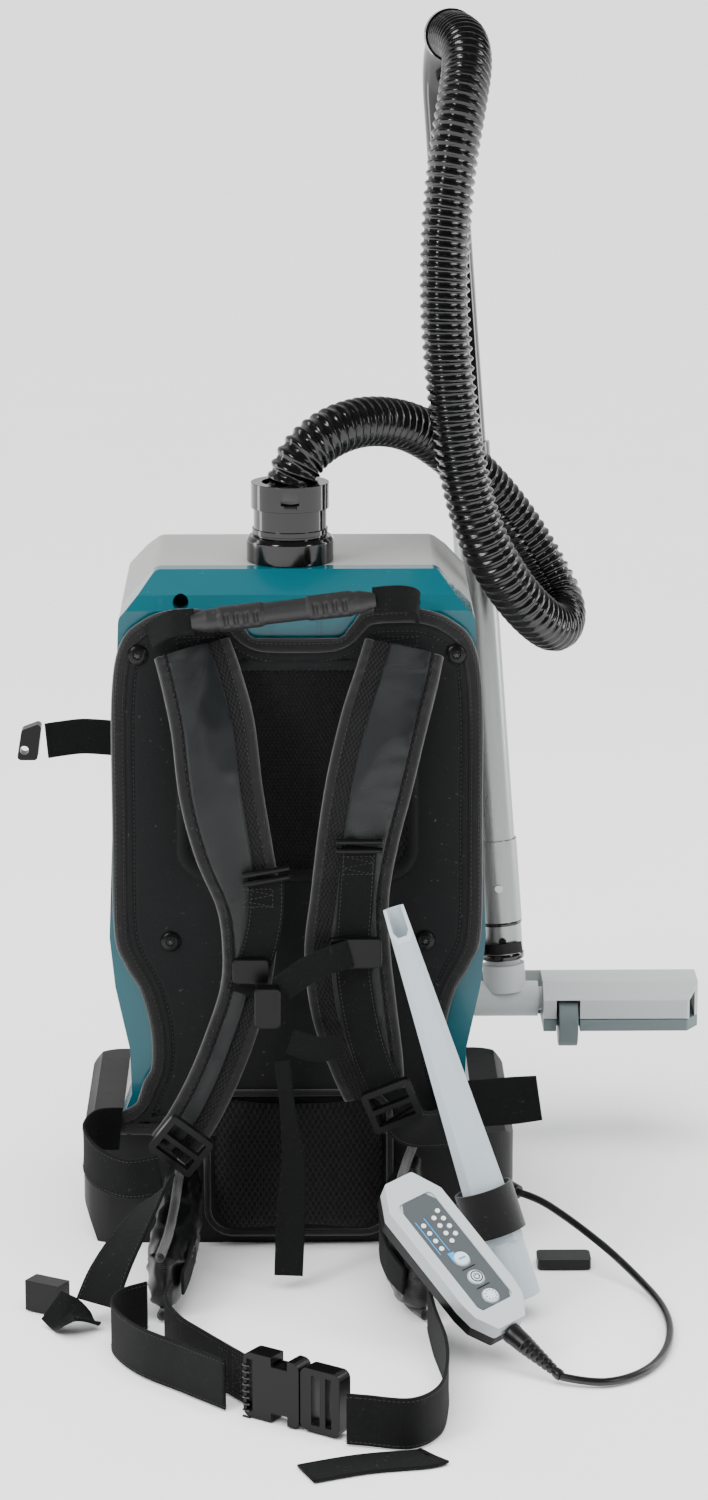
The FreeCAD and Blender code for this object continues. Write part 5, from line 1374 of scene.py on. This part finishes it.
def make_rivets():
    """Push rivets: a domed head with a six-pointed recess."""
    places = [(-0.122, 0.480), (0.122, 0.480), (-0.099, 0.252), (0.099, 0.252)]
    pieces = []
    for x, z in places:
        foot = (x, PAD_FACE + 0.0005, z)
        face = (x, PAD_FACE - 0.0042, z)
        profile = [(0, 0.0078), (0.55, 0.0080), (0.8, 0.0072), (0.96, 0.0050), (1, 0.0036), (0.8, 0.0030)]
        pieces.append(turned_piece("head", foot, face, profile, BUCKLE_BLACK, 36))
        for k in range(3):
            a = math.radians(60 * k + 15)
            way = (math.cos(a), 0, math.sin(a))
            pieces.append(rail("point", (x, PAD_FACE - 0.0038, z), way, (0, -1, 0), 0.0052, 0.0011, 0.0010,
                               GLOSS_BLACK))
    shown(joined("pad_rivets", pieces), "root", "buckle_plastic", "plate_rivets")


def make_buckle_ribs():
    """Grip ribs across the strap end of the belt buckle's socket."""
    start = np.array((-0.037, PAD_FACE - 0.338, BELT_MIDDLE))
    way = unit(np.array((0.82, -0.57, 0)))
    out = np.array((way[1], -way[0], 0))
    places = np.array([v.co[:] for v in frame["nodes"]["belt_buckle_socket"].data.vertices])
    near = places[(places - start) @ way < 0.012]
    face = ((near - start) @ out).max()
    tall = near[:, 2].max() - near[:, 2].min()
    pieces = []
    for k in range(9):
        at = start + way * 0.005 + out * face + np.array((0, 0, (k / 8 - 0.5) * tall * 0.8))
        pieces.append(rail("rib", at, way, out, 0.0065, 0.0015, 0.0018, GLOSS_BLACK))
    shown(joined("buckle_ribs", pieces), "root", "buckle_plastic")


# ---- carry handle ----------------------------------------------------------------------
def make_carry_handle():
    start = np.array((-0.080, PAD_FACE - 0.020, 0.509))
    end = np.array((0.060, PAD_FACE - 0.020, 0.526))
    way = end - start
    long = np.linalg.norm(way)
    along = way / long
    front = np.array((0, -1.0, 0))
    up = np.cross(front, along)
    steps, around = 300, 60
    zones = ((0.020, 0.056), (0.088, 0.124))
    points = []
    for k in range(steps + 1):
        s = long * k / steps
        body = 0.0092 + 0.0008 * abs(s / long * 2 - 1) ** 2
        for low, high in zones:
            inside = min(1, max(0, (s - low) / 0.0022)) * min(1, max(0, (high - s) / 0.0022))
            body = body + 0.0012 * inside
        ends = min(1, 0.62 + 0.38 * min(s, long - s) / 0.012) if min(s, long - s) < 0.012 else 1
        for i in range(around):
            a = 2 * math.pi * i / around
            radius = body * ends * (1 - 0.16 * max(0, -math.cos(a)))
            for low, high in zones:
                if low + 0.003 < s < high - 0.003:
                    turn = (s - low - 0.003) / (high - low - 0.006) * 4
                    groove = max(0.0, math.cos((turn - math.floor(turn) - 0.5) * 2 * math.pi) + 0.25) / 1.25
                    window = max(0.0, 1 - abs(math.cos(a) ** 2 - 1) * 3.2)
                    radius -= 0.0021 * groove ** 0.7 * min(1, window * 3)
            points.append(start + along * s + front * (radius * math.cos(a))
                          + up * (radius * 0.92 * math.sin(a)))
    faces = []
    for k in range(steps):
        for i in range(around):
            n = (i + 1) % around
            faces.append((k * around + i, k * around + n, (k + 1) * around + n, (k + 1) * around + i))
    faces.append(tuple(range(around))[::-1])
    faces.append(tuple(steps * around + i for i in range(around)))
    grip = make_mesh("grip", points, faces, [GRIP_BLACK])
    face_outwards(grip)
    shown(grip, "carry_handle", "grip_rubber", "carry_handle")
    tabs = (
        ("handle_tab_left", [(-0.112, PAD_FACE - 0.006, 0.494), (-0.104, PAD_FACE - 0.012, 0.502),
                             (-0.094, PAD_FACE - 0.018, 0.508), (-0.078, PAD_FACE - 0.021, 0.510)]),
        ("handle_tab_right", [(0.092, PAD_FACE - 0.006, 0.512), (0.090, PAD_FACE - 0.014, 0.523),
                              (0.078, PAD_FACE - 0.019, 0.527), (0.058, PAD_FACE - 0.021, 0.526)]),
    )
    for name, path in tabs:
        rows = [(*p, 0, 0.3, 1, 0.020) for p in path]
        tab = tape(name, rows, 3.0, 8)
        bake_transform(tab)


# ---- remote control --------------------------------------------------------------------
REMOTE_UP = unit(np.array((-0.575, 0.582, 0.575)))
REMOTE_SIDE = np.array((0.786, 0.59, 0.181))
REMOTE_SIDE = unit(REMOTE_SIDE - REMOTE_UP * REMOTE_SIDE.dot(REMOTE_UP))
REMOTE_OUT = np.cross(REMOTE_SIDE, REMOTE_UP)
BUTTON_PALE = moulded("button_pale", (0.62, 0.72, 0.78), 0.3, 0.01, 1500, 0.02)
BLUE = moulded("blue_mark", (0.03, 0.33, 0.72), 0.35, 0.01, 1500, 0.03)
WHITE = moulded("white_mark", (0.8, 0.82, 0.82), 0.4, 0.01, 1500, 0.02)


def remote_at(x, y, z):
    return REMOTE_FOOT + REMOTE_SIDE * x * MM + REMOTE_UP * y * MM + REMOTE_OUT * z * MM


def remote_plate(name, outline, low, high, finish, holes=()):
    """A flat plate on the remote's face, with holes, in its own millimetres."""
    shape = bmesh.new()
    rims = []
    for loop in (outline, *holes):
        verts = [shape.verts.new(remote_at(x, y, high)) for x, y in loop]
        rims += [shape.edges.new((verts[i], verts[(i + 1) % len(verts)])) for i in range(len(verts))]
    bmesh.ops.triangle_fill(shape, edges=rims, use_beauty=True, normal=Vector(REMOTE_OUT))
    made = bmesh.ops.extrude_face_region(shape, geom=shape.faces[:])
    moved = [item for item in made["geom"] if isinstance(item, bmesh.types.BMVert)]
    bmesh.ops.translate(shape, verts=moved, vec=Vector(REMOTE_OUT * (low - high) * MM))
    bmesh.ops.recalc_face_normals(shape, faces=shape.faces)
    mesh = bpy.data.meshes.new(name)
    shape.to_mesh(mesh)
    shape.free()
    mesh.materials.append(finish)
    piece = bpy.data.objects.new(name, mesh)
    bpy.context.scene.collection.objects.link(piece)
    return piece


def circle(x, y, radius, count=32):
    return [(x + radius * math.cos(2 * math.pi * k / count), y + radius * math.sin(2 * math.pi * k / count))
            for k in range(count)]


def arc_band(x, y, radius, width, start, end, count=24):
    """A bent bar's outline."""
    angles = [math.radians(start + (end - start) * k / count) for k in range(count + 1)]
    outer = [(x + (radius + width / 2) * math.cos(a), y + (radius + width / 2) * math.sin(a)) for a in angles]
    inner = [(x + (radius - width / 2) * math.cos(a), y + (radius - width / 2) * math.sin(a)) for a in angles]
    return outer + inner[::-1]


def make_remote():
    spots = {"boost": 62, "power": 44, "mode": 26}
    outline = [(-15.6, 24), (-13, 18.6), (13, 18.6), (15.6, 24),
               (15.6, 114), (11, 121.4), (-11, 121.4), (-15.6, 114)]
    panel = remote_plate("remote_panel", outline, 9.62, 10.5, PANEL,
                         [circle(0, y, 7.0) for y in spots.values()])
    shown(panel, "root", "remote_housing")
    marks = []
    for row in range(4):
        y = 76 + 7.5 * row
        marks.append(remote_plate("lamp", circle(-8.5, y, 1.9, 16), 10.4, 11.3, WHITE))
        marks.append(remote_plate("lamp", circle(3.0, y + 2, 1.9, 16), 10.4, 11.3, WHITE))
        marks.append(remote_plate("lamp", circle(9.5, y + 6, 1.9, 16), 10.4, 11.3, WHITE))
    marks.append(remote_plate("rule", [(-12.6, 72), (-12, 72), (-12, 104), (-12.6, 104)], 10.4, 10.75, BLUE))
    marks.append(remote_plate("rule", [(-4.4, 72), (-3.8, 72), (-3.8, 104), (-4.4, 104)], 10.4, 10.75, BLUE))
    marks.append(remote_plate("pointer", [(-7.2, 61), (-7.2, 70.5), (-1.5, 69.8)], 10.4, 10.75, BLUE))
    for y in (35, 53):
        marks.append(remote_plate("rule", [(-6, y), (6, y), (6, y + 0.7), (-6, y + 0.7)], 10.4, 10.75, PRINT_AND_SHADE_BLACK))
    shown(joined("remote_marks", marks), "root", "remote_housing")
    for name, y in spots.items():
        body = BODY_OF["remote_button_" + name]
        profile = [(0, 7.4), (0.22, 7.4), (0.24, 6.0), (0.86, 6.0), (0.95, 5.6), (1.0, 4.9)]
        cap = turned_piece("cap_" + name, remote_at(0, y, 5.1), remote_at(0, y, 11.9),
                           [(share, radius * MM) for share, radius in profile], BUTTON_PALE, 40)
        if name == "boost":
            bar = [(-3, y - 0.7), (3, y - 0.7), (3, y + 0.7), (-3, y + 0.7)]
            pieces = [cap, remote_plate("bar", bar, 11.8, 12.1, BLUE)]
        elif name == "power":
            stroke = [(-0.4, y + 0.6), (0.4, y + 0.6), (0.4, y + 3), (-0.4, y + 3)]
            pieces = [cap, remote_plate("ring", arc_band(0, y, 4.4, 0.9, 0, 360, 40)[:-1], 11.8, 12.1, PRINT_AND_SHADE_BLACK),
                      remote_plate("arc", arc_band(0, y, 2.2, 0.8, 120, 420), 11.8, 12.1, PRINT_AND_SHADE_BLACK),
                      remote_plate("stroke", stroke, 11.8, 12.1, PRINT_AND_SHADE_BLACK)]
        else:
            turns = [2 * math.pi * k / 10 for k in range(10)]
            centres = [(4.2 * math.cos(a), y + 4.2 * math.sin(a)) for a in turns]
            dots = [remote_plate("dot", circle(*centre, 0.5, 8), 11.8, 12.1, PRINT_AND_SHADE_BLACK) for centre in centres]
            pieces = [cap] + dots
        shown(joined("button_" + name, pieces), body, "button_plastic", "remote_button_" + name)


make_stage()
make_hose()
make_cable()
make_straps()
make_webbing()
make_side_straps()
make_pad()
make_hips()
make_lumbar()
make_belt()
make_hard_parts()
make_wand_bands()
make_rivets()
make_buckle_ribs()
make_carry_handle()
make_remote()
